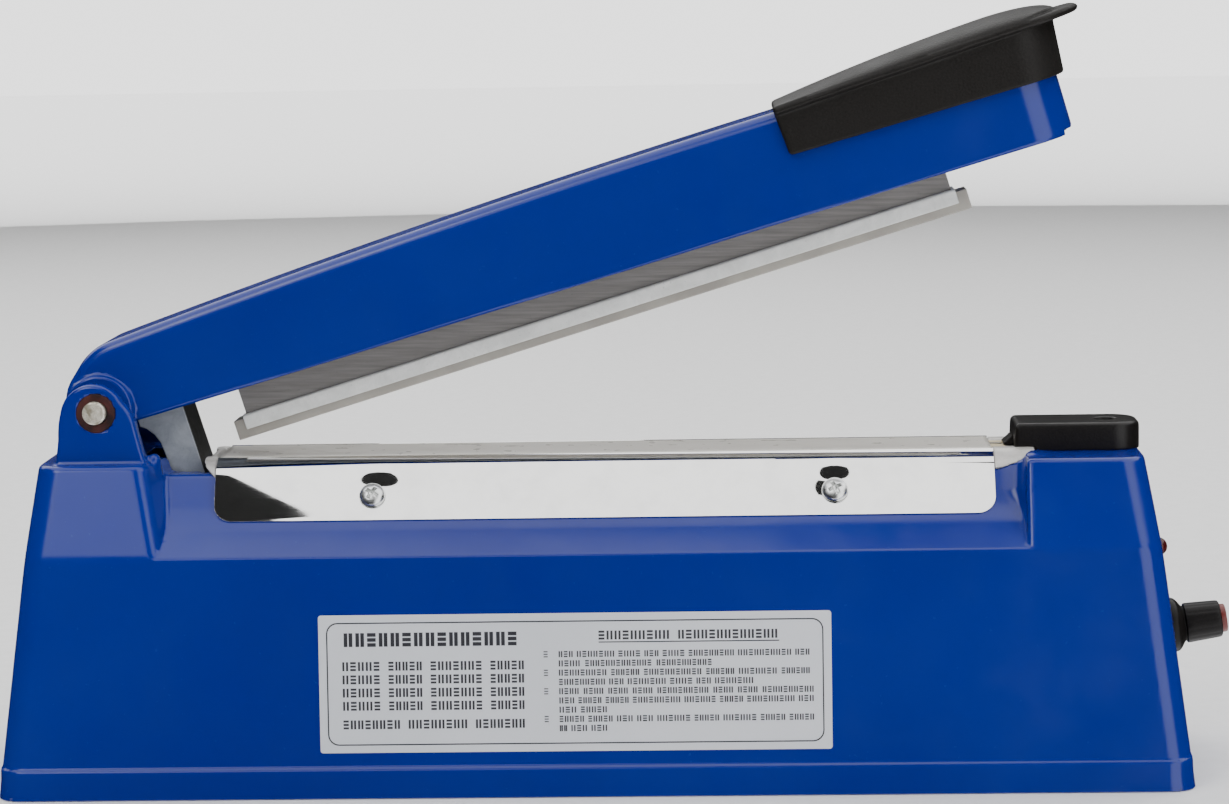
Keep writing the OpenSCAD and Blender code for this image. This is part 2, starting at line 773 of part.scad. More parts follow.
module bar_carrier() {
    color([0.45, 0.42, 0.4]) in_arm() difference() {
        box(bar_a0 + 1, bar_a1 - 1, -5, 5, carrier_base, -4);
        box(bar_a0, bar_a1, -4, 4, carrier_base + 1, 0);
        for (a = carrier_spots) translate([a, 0, -20]) cylinder(h = 10, r = 1.5);
        for (a = pin_at) translate([a, 0, -20]) cylinder(h = 10, r = 1.5);
    }
}

carrier_spots = [48, 137, 226];

module carrier_screws() {
    color(nickel) in_arm() for (a = carrier_spots) translate([a, 0, carrier_base + 1])
        pan_screw(2.6, 1.7, 1.5, 3.2);
}

module guide_pins() {
    color(nickel) in_arm() for (a = pin_at) translate([a, 0, 0]) {
        translate([0, 0, carrier_base - 2]) cylinder(h = channel_top + 1 - carrier_base + 2, r = 1.5);
        translate([0, 0, carrier_base + 1]) cylinder(h = 2, r = 2.6);
        translate([0, 0, channel_top + 0.3]) cylinder(h = 2, r = 3);
    }
}

module press_bar() {
    color(aluminium) in_arm() difference() {
        box(bar_a0, bar_a1, -6.5, 6.5, bar_bottom, carrier_base);
        box(bar_a0 - 1, bar_a1 + 1, -5.5, 5.5, bar_bottom - 1, carrier_base - bar_t);
        for (a = concat(carrier_spots, pin_at)) translate([a, 0, carrier_base - 3])
            cylinder(h = 4, r = 1.5);
    }
}

module silicone_strip() {
    color([0.70, 0.69, 0.66]) in_arm() difference() {
        box(bar_a0 - 3, bar_a1 + 3, -5.5, 5.5, strip_bottom, carrier_base - bar_t);
        for (a = concat(carrier_spots, pin_at)) translate([a, 0, carrier_base - 2.2])
            cylinder(h = 4, r = 1.5);
    }
}

// ---------- time knob ----------

module pot_shaft() {
    color(steel) on_end_wall(knob_z) translate([0, 0, -8]) cylinder(h = 22, r = 3);
}

module knob() {
    skirt_r = knob_d / 2;
    color(black) on_end_wall(knob_z) difference() {
        union() {
            translate([0, 0, 0.5]) cylinder(h = 3.1, r = skirt_r);
            translate([0, 0, 3.6]) cylinder(h = 1.8, r1 = skirt_r, r2 = 4.8);
            translate([0, 0, 5.4]) cylinder(h = 0.6, r = 4.8);
            translate([0, 0, 5.9]) cylinder(h = 9.6, r1 = 5.5, r2 = 5);
        }
        translate([0, 0, -1]) cylinder(h = 3.2, r = 6);
        translate([0, 0, -1]) cylinder(h = 6.3, r = 3.9);
        cylinder(h = 14, r = 3);
    }
}

module knob_cap() {
    color([0.75, 0.05, 0.05]) on_end_wall(knob_z) translate([0, 0, 15.5]) {
        cylinder(h = 1, r = 3.9);
        translate([0, 0, 1]) cylinder(h = 0.8, r1 = 3.9, r2 = 3.1);
    }
}

base_housing();
bottom_plate();
bottom_screws();
rubber_feet();
cord_gland();
hinge_bushes();
hinge_pin();
pin_clip();
bed();
bed_screws();
insulation_strip();
heating_element();
ptfe_cloth();
electrode_insulators();
electrode_blocks();
front_plate();
rear_plate();
plate_screws();
end_cap();
end_cap_screw();
label_plate();
transformer_core();
transformer_bobbin();
transformer_coil();
transformer_bracket();
transformer_screws();
timer_board();
board_standoffs();
board_screws();
relay();
capacitor();
timer_chip();
terminal_block();
potentiometer();
pot_nut();
indicator_lens();
indicator_lamp();
micro_switch();
switch_bracket();
switch_screws();
switch_plunger();
spring_bracket();
return_spring();
arm_shell();
arm_frame();
lever_leg();
arm_screws();
grip();
grip_screws();
bar_springs();
bar_carrier();
carrier_screws();
guide_pins();
press_bar();
silicone_strip();
pot_shaft();
knob();
knob_cap();
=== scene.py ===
"""Looks of a bench impulse heat sealer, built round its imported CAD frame.

Large moulded parts are implicit solids: planes and rounds joined with soft edges, meshed on a grid and then
moved exactly onto their surface. Their outlines are in millimetres, and every mesh is made in metres.
"""

import json
from itertools import product
from math import atan, atan2, cos, dist, exp, hypot, pi, radians, sin, sqrt, tan

import bmesh
import bpy
import numpy as np
from mathutils import Matrix, Vector


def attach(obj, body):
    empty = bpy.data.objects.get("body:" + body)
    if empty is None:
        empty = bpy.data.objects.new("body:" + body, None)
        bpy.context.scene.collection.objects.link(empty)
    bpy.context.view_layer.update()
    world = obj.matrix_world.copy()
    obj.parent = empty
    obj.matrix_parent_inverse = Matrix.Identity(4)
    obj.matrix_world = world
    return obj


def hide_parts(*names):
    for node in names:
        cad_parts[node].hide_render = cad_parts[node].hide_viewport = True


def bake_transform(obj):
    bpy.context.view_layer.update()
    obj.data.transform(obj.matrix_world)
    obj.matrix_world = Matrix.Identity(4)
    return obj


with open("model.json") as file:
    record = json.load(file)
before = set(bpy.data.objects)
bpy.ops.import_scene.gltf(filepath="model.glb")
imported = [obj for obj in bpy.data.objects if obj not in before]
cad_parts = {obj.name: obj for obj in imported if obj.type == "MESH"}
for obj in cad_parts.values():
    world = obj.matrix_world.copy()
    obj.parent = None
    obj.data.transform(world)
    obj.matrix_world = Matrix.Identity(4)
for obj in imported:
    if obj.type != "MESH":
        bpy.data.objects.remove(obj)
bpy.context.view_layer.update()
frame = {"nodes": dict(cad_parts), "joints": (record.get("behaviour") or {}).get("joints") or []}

MM = 0.001
JOINTS = {j["name"]: j for j in frame["joints"]}
HINGE = Vector(JOINTS["arm_hinge"]["pos_m"])
OPEN_ANGLE = radians(JOINTS["arm_hinge"]["range_deg"][1])
# Arm space: X along the arm from the pin, Z up from the pin's line
ARM = Matrix.Translation(HINGE) @ Matrix.Rotation(-OPEN_ANGLE, 4, "Y")
PIVOT_X, PIVOT_Z = HINGE.x / MM, HINGE.z / MM
QUARTER_X = Matrix.Rotation(pi / 2, 4, "X")


def mm(x, y, z):
    """Point given in millimetres."""
    return Vector((x, y, z)) * MM


def shift(x, y, z):
    return Matrix.Translation(mm(x, y, z))


# ---- implicit solids


def plane(u, v, p, q):
    """Signed distance in the (u, v) plane to the line through p and q; negative on the right of p to q."""
    du, dv = q[0] - p[0], q[1] - p[1]
    return ((v - p[1]) * du - (u - p[0]) * dv) / hypot(du, dv)


def soft_max(a, b, k):
    """Intersection of two solids with an edge softened over k."""
    h = np.maximum(k - abs(a - b), 0) / k
    return np.maximum(a, b) + h * h * k / 4


def soft_min(a, b, k):
    """Union of two solids with a fillet over k."""
    return -soft_max(-a, -b, k)


def round_max(a, b, r):
    """Intersection of two solids that meet square, with a true radius r."""
    return np.minimum(np.maximum(a, b), -r) + np.hypot(np.maximum(a + r, 0), np.maximum(b + r, 0))


def soft_box(x, y, z, low, high, k):
    centre = [(a + b) / 2 for a, b in zip(low, high)]
    half = [(b - a) / 2 for a, b in zip(low, high)]
    d = [abs(c - m) - h for c, m, h in zip((x, y, z), centre, half)]
    return soft_max(soft_max(d[0], d[1], k), d[2], k)


PROBE = 0.01
SETTLE_ROUNDS = 6
LONGEST_MOVE = 0.6
LEAST_SLOPE = 0.05


def gradient(field, p):
    g = np.empty_like(p)
    for axis in range(3):
        step = np.zeros(3)
        step[axis] = PROBE
        g[:, axis] = (field(*(p + step).T) - field(*(p - step).T)) / (2 * PROBE)
    return g


def settle(field, p):
    """Moves points onto the field's zero surface, and gives the surface's normals there."""
    for _ in range(SETTLE_ROUNDS):
        g = gradient(field, p)
        size = np.maximum((g * g).sum(1), LEAST_SLOPE)
        p = p - (np.clip(field(*p.T), -LONGEST_MOVE, LONGEST_MOVE) / size)[:, None] * g
    g = gradient(field, p)
    return p, g / np.maximum(np.linalg.norm(g, axis=1), 1e-9)[:, None]


# The grid is set off round numbers, where flat faces lie, and is filled a slab at a time
GRID_SHIFT = 0.37
SLAB = 24


def surface(field, low, high, step):
    """Points, quads and normals of the field's zero surface inside a box, by surface nets."""
    low = np.array(low, float) + step * GRID_SHIFT
    count = np.ceil((np.array(high) - low) / step).astype(int) + 1
    axes = [low[i] + step * np.arange(count[i]) for i in range(3)]
    values = np.concatenate(
        [field(*np.meshgrid(axes[0][i:i + SLAB], axes[1], axes[2], indexing="ij"))
         for i in range(0, count[0], SLAB)]).astype(np.float32)
    inside = values < 0
    total = np.zeros(count - 1, np.int8)
    for dx, dy, dz in product((0, 1), repeat=3):
        total += inside[dx:count[0] - 1 + dx, dy:count[1] - 1 + dy, dz:count[2] - 1 + dz]
    active = (total > 0) & (total < 8)
    index = np.full(active.shape, -1, int)
    index[active] = np.arange(active.sum())
    points, normals = settle(field, low + (np.argwhere(active) + 0.5) * step)
    quads = []
    for axis in range(3):
        a, b = (axis + 1) % 3, (axis + 2) % 3
        first = [slice(1, -1)] * 3
        first[axis] = slice(None, -1)
        second = list(first)
        second[axis] = slice(1, None)
        s0, s1 = inside[tuple(first)], inside[tuple(second)]
        flip = s0[s0 != s1]
        base = np.argwhere(s0 != s1) + 1
        base[:, axis] -= 1
        ring = []
        for da, db in ((1, 1), (0, 1), (0, 0), (1, 0)):
            c = base.copy()
            c[:, a] -= da
            c[:, b] -= db
            ring.append(index[tuple(c.T)])
        q = np.stack(ring, 1)
        q[~flip] = q[~flip][:, ::-1]
        quads.append(q)
    quads = np.concatenate(quads)
    return points, quads[(quads >= 0).all(1)], normals


# ---- pieces


def paint(obj, material):
    obj.data.materials.clear()
    obj.data.materials.append(MATERIALS[material])


def finish(obj, body, slot, material, *stands_for):
    paint(obj, material)
    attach(obj, body)
    if stands_for:
        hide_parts(*stands_for)


def new_object(name, data):
    obj = bpy.data.objects.new(name, data)
    bpy.context.scene.collection.objects.link(obj)
    return obj


def mesh_object(name, points, faces):
    mesh = bpy.data.meshes.new(name)
    mesh.from_pydata([tuple(p) for p in points], [], [tuple(f) for f in faces])
    mesh.update()
    return new_object(name, mesh)


def grid_faces(rows, columns, flip=False):
    """Quads of a grid of points that are listed row by row, with one more of them than columns in a row."""
    width = columns + 1
    quads = [(a, a + width, a + width + 1, a + 1)
             for j in range(rows) for a in range(j * width, j * width + columns)]
    return [quad[:1] + quad[:0:-1] for quad in quads] if flip else quads


def moulded(name, field, low, high, step, place=Matrix.Identity(4)):
    """Mesh object of an implicit solid whose own space is in millimetres, put in place by a matrix."""
    points, quads, normals = surface(field, low, high, step)
    turn = np.array(place.to_3x3())
    world = points * MM @ turn.T + np.array(place.translation)
    obj = mesh_object(name, world.tolist(), quads.tolist())
    obj.data.polygons.foreach_set("use_smooth", np.ones(len(quads), bool))
    obj.data.validate()
    obj.data.normals_split_custom_set_from_vertices((normals @ turn.T).astype(np.float32))
    return obj


def lathe(name, profile, place, turns=64, radius_at=lambda r, h, t: r, closed=False):
    """Turned piece: profile is (radius, height) in millimetres, from foot to top or a closed ring."""
    points, faces = [], []
    for r, h in profile:
        for i in range(turns):
            t = 2 * pi * i / turns
            rr = radius_at(r, h, t)
            points.append(place @ mm(rr * cos(t), rr * sin(t), h))
    rows = len(profile)
    for j in range(rows if closed else rows - 1):
        foot, head = j * turns, (j + 1) % rows * turns
        for i in range(turns):
            k = (i + 1) % turns
            faces.append((foot + i, foot + k, head + k, head + i))
    if not closed:
        faces += [tuple(reversed(range(turns))), tuple(range((rows - 1) * turns, rows * turns))]
    obj = mesh_object(name, points, faces)
    smooth(obj, 35)
    return obj


def smooth(obj, degrees):
    obj.data.polygons.foreach_set("use_smooth", [True] * len(obj.data.polygons))
    obj.data.set_sharp_from_angle(angle=radians(degrees))


def prism(name, outline, depth, place, bevel, segments=3):
    """Extrusion of a closed outline in millimetres along its own Z, with bevelled edges."""
    n = len(outline)
    points = [place @ mm(x, y, z) for z in depth for x, y in outline]
    faces = [tuple(reversed(range(n))), tuple(range(n, 2 * n))]
    faces += [(i, (i + 1) % n, (i + 1) % n + n, i + n) for i in range(n)]
    obj = mesh_object(name, points, faces)
    bm = bmesh.new()
    bm.from_mesh(obj.data)
    bmesh.ops.recalc_face_normals(bm, faces=bm.faces)
    bm.to_mesh(obj.data)
    bm.free()
    bevel_edges(obj, bevel, segments)
    smooth(obj, 180)
    return obj


def bevel_edges(obj, width, segments=3, sharper_than=32):
    m = obj.modifiers.new("edge", "BEVEL")
    m.width, m.segments = width * MM, segments
    m.limit_method, m.angle_limit = "ANGLE", radians(sharper_than)
    m.harden_normals = True


def thicken(obj, name, thickness):
    """Gives a sheet its thickness, on the side away from its normals."""
    m = obj.modifiers.new(name, "SOLIDIFY")
    m.thickness, m.offset = thickness * MM, -1


def arc(cx, cy, r, start, end, steps):
    angles = [radians(start + (end - start) * i / steps) for i in range(steps + 1)]
    return [(cx + r * cos(t), cy + r * sin(t)) for t in angles]


COIL_STEPS, HOOK_STEPS = 20, 14


def coil(name, start, end, radius, wire, turns, hooks=False):
    """Helical spring between two points, as a mesh, with optional hook rings at its ends."""
    axis = (end - start).normalized()
    side = axis.cross(Vector((0, 1, 0))).normalized()
    other = axis.cross(side)
    length = (end - start).length
    radius *= MM
    inset, ring = 0, []
    if hooks:
        inset = 1.4 * radius
        for t in [2 * pi * i / HOOK_STEPS for i in range(HOOK_STEPS)]:
            ring.append(start + axis * 0.64 * radius * (1 - cos(t)) + side * 0.6 * radius * sin(t))
    path = list(ring)
    steps = turns * COIL_STEPS
    for i in range(steps + 1):
        t = 2 * pi * turns * i / steps
        along = inset + (length - 2 * inset) * i / steps
        path.append(start + axis * along + (side * cos(t) + other * sin(t)) * radius)
    path += [end - (p - start) for p in reversed(ring)]
    curve = bpy.data.curves.new(name, "CURVE")
    curve.dimensions = "3D"
    curve.bevel_depth = wire * MM
    curve.bevel_resolution = 3
    spline = curve.splines.new("POLY")
    spline.points.add(len(path) - 1)
    for point, p in zip(spline.points, path):
        point.co = (*p, 1)
    wire_object = bpy.data.objects.new(name + "_path", curve)
    mesh = bpy.data.meshes.new_from_object(wire_object)
    bpy.data.objects.remove(wire_object)
    return new_object(name, mesh)


# ---- materials


class Nodes:
    """Short way to write a material: most methods make one node and give back its output."""

    def __init__(self, name):
        self.mat = bpy.data.materials.new(name)
        self.mat.use_nodes = True
        self.tree = self.mat.node_tree
        self.shader = self.tree.nodes["Principled BSDF"]
        self.place = self.tree.nodes.new("ShaderNodeTexCoord").outputs["Object"]

    def feed(self, socket, value):
        if isinstance(value, bpy.types.NodeSocket):
            self.tree.links.new(value, socket)
        else:
            socket.default_value = value

    def node(self, kind, inputs=(), **settings):
        n = self.tree.nodes.new(kind)
        for key, value in settings.items():
            setattr(n, key, value)
        for key, value in dict(inputs).items():
            self.feed(n.inputs[key], value)
        return n

    def scaled(self, scale):
        return self.node("ShaderNodeVectorMath", {0: self.place, 1: scale}, operation="MULTIPLY").outputs[0]

    def noise(self, per_metre, detail=3, rough=0.5, stretch=None, distort=0):
        place = self.scaled(stretch) if stretch else self.place
        return self.node("ShaderNodeTexNoise", {"Vector": place, "Scale": per_metre, "Detail": detail,
                                                "Roughness": rough, "Distortion": distort}).outputs["Fac"]

    def cells(self, per_metre):
        settings = {"Vector": self.place, "Scale": per_metre}
        return self.node("ShaderNodeTexVoronoi", settings).outputs["Distance"]

    def level(self, value, low, high, to_low=0, to_high=1):
        return self.node("ShaderNodeMapRange", {"Value": value, "From Min": low, "From Max": high,
                                                "To Min": to_low, "To Max": to_high}).outputs[0]

    def math(self, a, b, operation):
        return self.node("ShaderNodeMath", {0: a, 1: b}, operation=operation).outputs[0]

    def mix(self, fac, a, b):
        """Colour between a and b, each of them an output or a tuple of three."""
        a, b = (v if isinstance(v, bpy.types.NodeSocket) else (*v, 1) for v in (a, b))
        return self.node("ShaderNodeMix", {0: fac, 6: a, 7: b}, data_type="RGBA").outputs[2]

    def edges(self):
        """How far a point is on a raised edge, from 0 to 1."""
        pointed = self.node("ShaderNodeNewGeometry").outputs["Pointiness"]
        return self.level(pointed, 0.52, 0.62)

    def set(self, **values):
        for key, value in values.items():
            self.feed(self.shader.inputs[key.replace("_", " ")], value)

    def gloss(self, value, low, high):
        """Roughness from low to high, following a noise."""
        self.set(Roughness=self.level(value, 0.3, 0.7, low, high))

    def bump(self, height, distance_mm, strength=1, on=None):
        settings = {"Height": height, "Distance": distance_mm * MM, "Strength": strength}
        if on:
            settings["Normal"] = on
        normal = self.node("ShaderNodeBump", settings).outputs[0]
        self.set(Normal=normal)
        return normal


def blue_plastic():
    """Glossy moulded ABS: deep royal blue, faint flow marks, a little orange peel."""
    n = Nodes("blue_plastic")
    cloud = n.noise(14, 2, 0.4, distort=0.6)
    colour = n.mix(n.level(cloud, 0.35, 0.65), (0, 0.013, 0.225), (0, 0.017, 0.25))
    specks = n.level(n.noise(900, 1), 0.74, 0.8)
    n.set(Base_Color=n.mix(n.math(specks, 0.15, "MULTIPLY"), colour, (0.03, 0.1, 0.42)))
    smudge = n.noise(55, 4, 0.6, distort=0.4)
    n.set(Roughness=n.level(smudge, 0.3, 0.75, 0.15, 0.27), IOR=1.5)
    peel = n.bump(n.noise(260, 2), 0.012)
    n.bump(n.noise(2400, 2), 0.003, on=peel)
    return n.mat


def grained_plastic(name, dark, light, rough, grain_mm=0.05, per_metre=2200, specular=0.25):
    """Black moulded plastic with a fine spark-eroded grain and raised edges lightened as a painted
    highlight.
    """
    n = Nodes(name)
    grain = n.noise(per_metre, 3, 0.65)
    colour = n.mix(n.level(grain, 0.35, 0.7), dark, light)
    # Raised edges are lightened: painted highlight along ridges and rims
    n.set(Base_Color=n.mix(n.math(n.edges(), 0.35, "MULTIPLY"), colour, [c * 1.9 for c in light]),
          Specular_IOR_Level=specular)
    n.gloss(n.noise(40), rough - 0.06, rough + 0.08)
    n.bump(n.math(grain, n.cells(per_metre * 0.7), "ADD"), grain_mm)
    return n.mat


def polished(name, colour, rough, wave_mm, grain=False):
    """Mirror-polished sheet or plated metal, slightly wavy as rolled sheet is."""
    n = Nodes(name)
    haze = n.noise(120, 5, 0.7)
    n.set(Base_Color=n.mix(n.level(haze, 0.45, 0.8), colour, [c * 0.86 for c in colour]), Metallic=1)
    hair = n.noise(900, 3, 0.6, stretch=(0.03, 1, 1))
    n.set(Roughness=n.level(hair, 0.35, 0.8, rough, rough + (0.09 if grain else 0.025)))
    wave = n.bump(n.noise(16, 1), wave_mm, 0.6)
    if grain:
        n.bump(n.noise(700, 4, 0.7), 0.01, on=wave)
    return n.mat


def brushed(name, dark, light, rough, stretch=(0.04, 1, 1), per_metre=1400, mottle=0, metallic=1):
    """Drawn or rolled metal: fine lines along it, cloudy patches, small dark pits."""
    n = Nodes(name)
    lines = n.noise(per_metre, 4, 0.6, stretch=stretch)
    patches = n.noise(170, 5, 0.72, distort=0.5)
    colour = n.mix(n.level(patches if mottle else lines, 0.36, 0.66), dark, light)
    pits = n.level(n.noise(1500, 2), 0.68, 0.76)
    n.set(Base_Color=n.mix(n.math(pits, 0.3 + mottle, "MULTIPLY"), colour, [c * 0.55 for c in dark]))
    n.set(Metallic=metallic)
    n.gloss(patches, rough - 0.07, rough + 0.1)
    n.bump(patches, 0.03 * (1 + mottle), on=n.bump(lines, 0.012))
    return n.mat


def silicone():
    """Grey-beige translucent rubber with a faint bloom."""
    n = Nodes("silicone_rubber")
    cloud = n.noise(90, 4)
    n.set(Base_Color=n.mix(n.level(cloud, 0.35, 0.65), (0.34, 0.32, 0.29), (0.42, 0.4, 0.36)),
          Subsurface_Weight=0.35, Subsurface_Radius=(0.003, 0.0028, 0.0024), Subsurface_Scale=0.6)
    n.gloss(n.noise(300), 0.38, 0.55)
    n.bump(n.noise(1100), 0.01)
    return n.mat


def woven(name, thread_a, thread_b, per_metre, rough, lift_mm):
    """Glass cloth or tape: a square weave, smoother where a film coats it."""
    n = Nodes(name)
    parts = n.node("ShaderNodeSeparateXYZ", {0: n.scaled((per_metre,) * 3)}).outputs
    warp, weft = (n.math(part, 0, "SINE") for part in parts[:2])
    weave = n.level(n.math(warp, weft, "MULTIPLY"), -1, 1)
    cloud = n.noise(45, 4, 0.6, stretch=(0.3, 1, 1))
    base = n.mix(n.level(cloud, 0.35, 0.7), thread_a, thread_b)
    n.set(Base_Color=n.mix(n.math(weave, 0.14, "MULTIPLY"), base, [c * 0.75 for c in thread_b]))
    n.gloss(n.noise(200), rough, rough + 0.12)
    n.bump(weave, lift_mm)
    return n.mat


def fibre():
    """Reddish-brown fibre bush, oily, stained dark in patches."""
    n = Nodes("bush_fibre")
    stain = n.noise(260, 5, 0.7)
    n.set(Base_Color=n.mix(n.level(stain, 0.38, 0.62), (0.016, 0.007, 0.008), (0.08, 0.012, 0.009)))
    n.gloss(stain, 0.35, 0.6)
    n.bump(n.noise(900, 4), 0.06)
    return n.mat


def pin_metal():
    """Nickel-plated pin end: pitted and tarnished in patches."""
    n = Nodes("pin_nickel")
    stain = n.noise(420, 5, 0.65, distort=0.8)
    n.set(Base_Color=n.mix(n.level(stain, 0.4, 0.6), (0.78, 0.74, 0.64), (0.3, 0.27, 0.2)),
          Metallic=0.35, Roughness=n.level(stain, 0.35, 0.65, 0.22, 0.42))
    n.bump(n.noise(800, 4, 0.7), 0.05)
    return n.mat


def label_film():
    """Silver-grey printed film with a fine metallic grain."""
    n = Nodes("label_film")
    flakes = n.noise(3200, 2)
    shade = n.noise(12, 2)
    base = n.mix(n.level(shade, 0.3, 0.7), (0.69, 0.72, 0.77), (0.77, 0.79, 0.84))
    fleck = n.math(n.level(flakes, 0.5, 0.75), 0.2, "MULTIPLY")
    n.set(Base_Color=n.mix(fleck, base, (0.66, 0.67, 0.71)), Metallic=0.12)
    n.gloss(flakes, 0.36, 0.5)
    n.bump(flakes, 0.004)
    return n.mat


def ink():
    """Dark screen-print ink, slightly broken by the film's grain."""
    n = Nodes("label_ink")
    wear = n.level(n.noise(2600), 0.55, 0.8)
    n.set(Base_Color=n.mix(n.math(wear, 0.5, "MULTIPLY"), (0.03, 0.03, 0.038), (0.1, 0.1, 0.12)),
          Roughness=n.level(wear, 0, 1, 0.35, 0.5))
    n.bump(wear, 0.003)
    return n.mat


def moulded_colour(name, dark, light, rough, transmission=0):
    """Small moulded or dipped parts: two close shades, uneven gloss, a faint ripple."""
    n = Nodes(name)
    n.set(Base_Color=n.mix(n.level(n.noise(160), 0.35, 0.65), dark, light))
    n.set(Transmission_Weight=transmission)
    n.gloss(n.noise(420), rough, rough + 0.12)
    n.bump(n.noise(650), 0.015)
    return n.mat


def laminated():
    """Stack of varnished transformer sheets: fine lines across the stack."""
    n = Nodes("laminations")
    lines = n.noise(1500, 1, stretch=(0.02, 1, 0.02))
    n.set(Base_Color=n.mix(n.level(lines, 0.4, 0.6), (0.05, 0.05, 0.055), (0.16, 0.15, 0.15)), Metallic=0.7)
    n.gloss(lines, 0.35, 0.55)
    n.bump(lines, 0.08)
    return n.mat


BLACK = ((0.006, 0.0052, 0.005), (0.012, 0.0105, 0.01))

MATERIALS = {
    "blue": blue_plastic(),
    "grip": grained_plastic("grip_plastic", (0.0065, 0.0056, 0.005), (0.0135, 0.0118, 0.0105), 0.5, 0.05,
                            per_metre=1700, specular=0.2),
    "cap": grained_plastic("cap_plastic", *BLACK, 0.27, 0.02),
    "knob": grained_plastic("knob_plastic", *BLACK, 0.36, 0.015, specular=0.16),
    "under": grained_plastic("under_plate_finish", (0.014, 0.014, 0.015), (0.03, 0.03, 0.032), 0.5),
    "rubber": grained_plastic("soft_rubber", (0.012, 0.012, 0.012), (0.028, 0.028, 0.028), 0.68, 0.04),
    "mirror": polished("mirror_sheet", (0.86, 0.86, 0.85), 0.02, 0.1),
    "nickel": polished("nickel_screws", (0.8, 0.81, 0.8), 0.26, 0.02, grain=True),
    "pin": pin_metal(),
    "zinc": brushed("zinc_plate", (0.3, 0.33, 0.37), (0.42, 0.455, 0.5), 0.45, mottle=0.1, metallic=0.45),
    "floor": moulded_colour("floor_paper", (0.9, 0.9, 0.9), (0.93, 0.93, 0.93), 0.85),
    "card": moulded_colour("black_card", (0.008, 0.008, 0.008), (0.014, 0.014, 0.014), 0.9),
    # Darker copy of the zinc plate for the lever's web: painted shade
    "zinc_painted_shade": brushed("zinc_plate_painted_shade", (0.038, 0.038, 0.035), (0.07, 0.07, 0.066), 0.5, metallic=0.3),
    "steel": brushed("spring_steel", (0.3, 0.31, 0.33), (0.55, 0.56, 0.58), 0.32),
    "aluminium": brushed("drawn_aluminium", (0.8, 0.81, 0.79), (0.95, 0.96, 0.94), 0.42, (0.12, 1, 1), 900,
                         mottle=0.12, metallic=0.15),
    "bed_metal": brushed("bed_aluminium", (0.58, 0.565, 0.54), (0.66, 0.645, 0.62), 0.36, (0.5, 1, 1), 600,
                         metallic=0.3),
    "carrier": brushed("carrier_paint", (0.21, 0.2, 0.195), (0.3, 0.285, 0.275), 0.42, metallic=0.2),
    "nichrome": brushed("ribbon_alloy", (0.3, 0.29, 0.28), (0.5, 0.48, 0.46), 0.35),
    "brass": brushed("brass_block", (0.55, 0.38, 0.12), (0.75, 0.56, 0.22), 0.3),
    "silicone": silicone(),
    "cloth": woven("coated_glass_cloth", (0.6, 0.575, 0.53), (0.7, 0.675, 0.63), 6000, 0.26, 0.006),
    "glass_tape": woven("woven_glass_tape", (0.55, 0.46, 0.28), (0.68, 0.6, 0.42), 4000, 0.6, 0.05),
    "fibre": fibre(),
    "film": label_film(),
    "ink": ink(),
    "red": moulded_colour("red_button", (0.1, 0.008, 0.006), (0.17, 0.014, 0.01), 0.25),
    "lens": moulded_colour("lens_red", (0.05, 0.004, 0.005), (0.12, 0.008, 0.009), 0.12, transmission=0.2),
    "neon": moulded_colour("neon_glow_lamp", (0.8, 0.35, 0.15), (0.9, 0.5, 0.25), 0.08, transmission=0.6),
    "laminated": laminated(),
    "winding": brushed("wound_copper", (0.35, 0.11, 0.03), (0.55, 0.2, 0.06), 0.35, (0.05, 0.05, 1), 2400),
    "nylon": moulded_colour("natural_nylon", (0.62, 0.54, 0.36), (0.74, 0.66, 0.46), 0.5),
    "board": moulded_colour("solder_mask", (0.01, 0.11, 0.035), (0.02, 0.17, 0.06), 0.3),
    "relay_case": moulded_colour("relay_case", (0.01, 0.05, 0.22), (0.02, 0.08, 0.3), 0.28),
    "black_case": moulded_colour("component_case", (0.01, 0.01, 0.011), (0.022, 0.022, 0.024), 0.4),
}

CAD_FINISH = {
    "zinc": "arm_frame pin_clip transformer_bracket switch_bracket spring_bracket bed_screws "
            "end_cap_screw potentiometer pot_shaft",
    "nickel": "bottom_screws transformer_screws board_screws pot_nut switch_screws arm_screws "
              "grip_screws carrier_screws guide_pins",
    "laminated": "transformer_core",
    "winding": "transformer_coil",
    "nylon": "transformer_bobbin board_standoffs",
    "board": "timer_board terminal_block",
    "relay_case": "relay",
    "black_case": "capacitor timer_chip micro_switch",
    "red": "switch_plunger",
    "neon": "indicator_lamp",
    "under": "bottom_plate",
    "rubber": "rubber_feet cord_gland",
    "glass_tape": "insulation_strip",
    "nichrome": "heating_element",
    "brass": "electrode_blocks",
    "fibre": "electrode_insulators",
    "carrier": "bar_carrier",
}


def finish_cad_nodes():
    """Gives every CAD node that stays in view its own material, and fine bevels where it is seen."""
    for key, names in CAD_FINISH.items():
        for name in names.split():
            paint(frame["nodes"][name], key)
    for name, width in (("bar_carrier", 0.25), ("pot_nut", 0.2), ("pin_clip", 0.2)):
        bevel_edges(frame["nodes"][name], width, 2)


# ---- base housing

# Half length and half width: of the skirt, of the walls just above it, and of the walls at the shoulder
SKIRT, WALL_FOOT, WALL_HEAD = (160, 40), (159.6, 39.5), (152.2, 36)
SKIRT_TOP = 8.4
SHOULDER_Z = 65
CORNER = 7
WALL = 2.5
LEFT_TOP, RIGHT_TOP = 89, 87.6
RIDGE_TOP, POCKET_Z = 85, 82
CREASE_Y = 24.9
EAR_Y = (18.5, 24)
KNOB_Z = JOINTS["knob_turn"]["pos_m"][2] / MM


def lower_walls(x, y, z):
    """Leaning end and side walls below the shoulder, with their plan radius."""
    end, side = (-plane(across, z, (foot, SKIRT_TOP), (head, SHOULDER_Z))
                 for across, foot, head in zip((x, y), WALL_FOOT, WALL_HEAD))
    return round_max(end, side, CORNER)


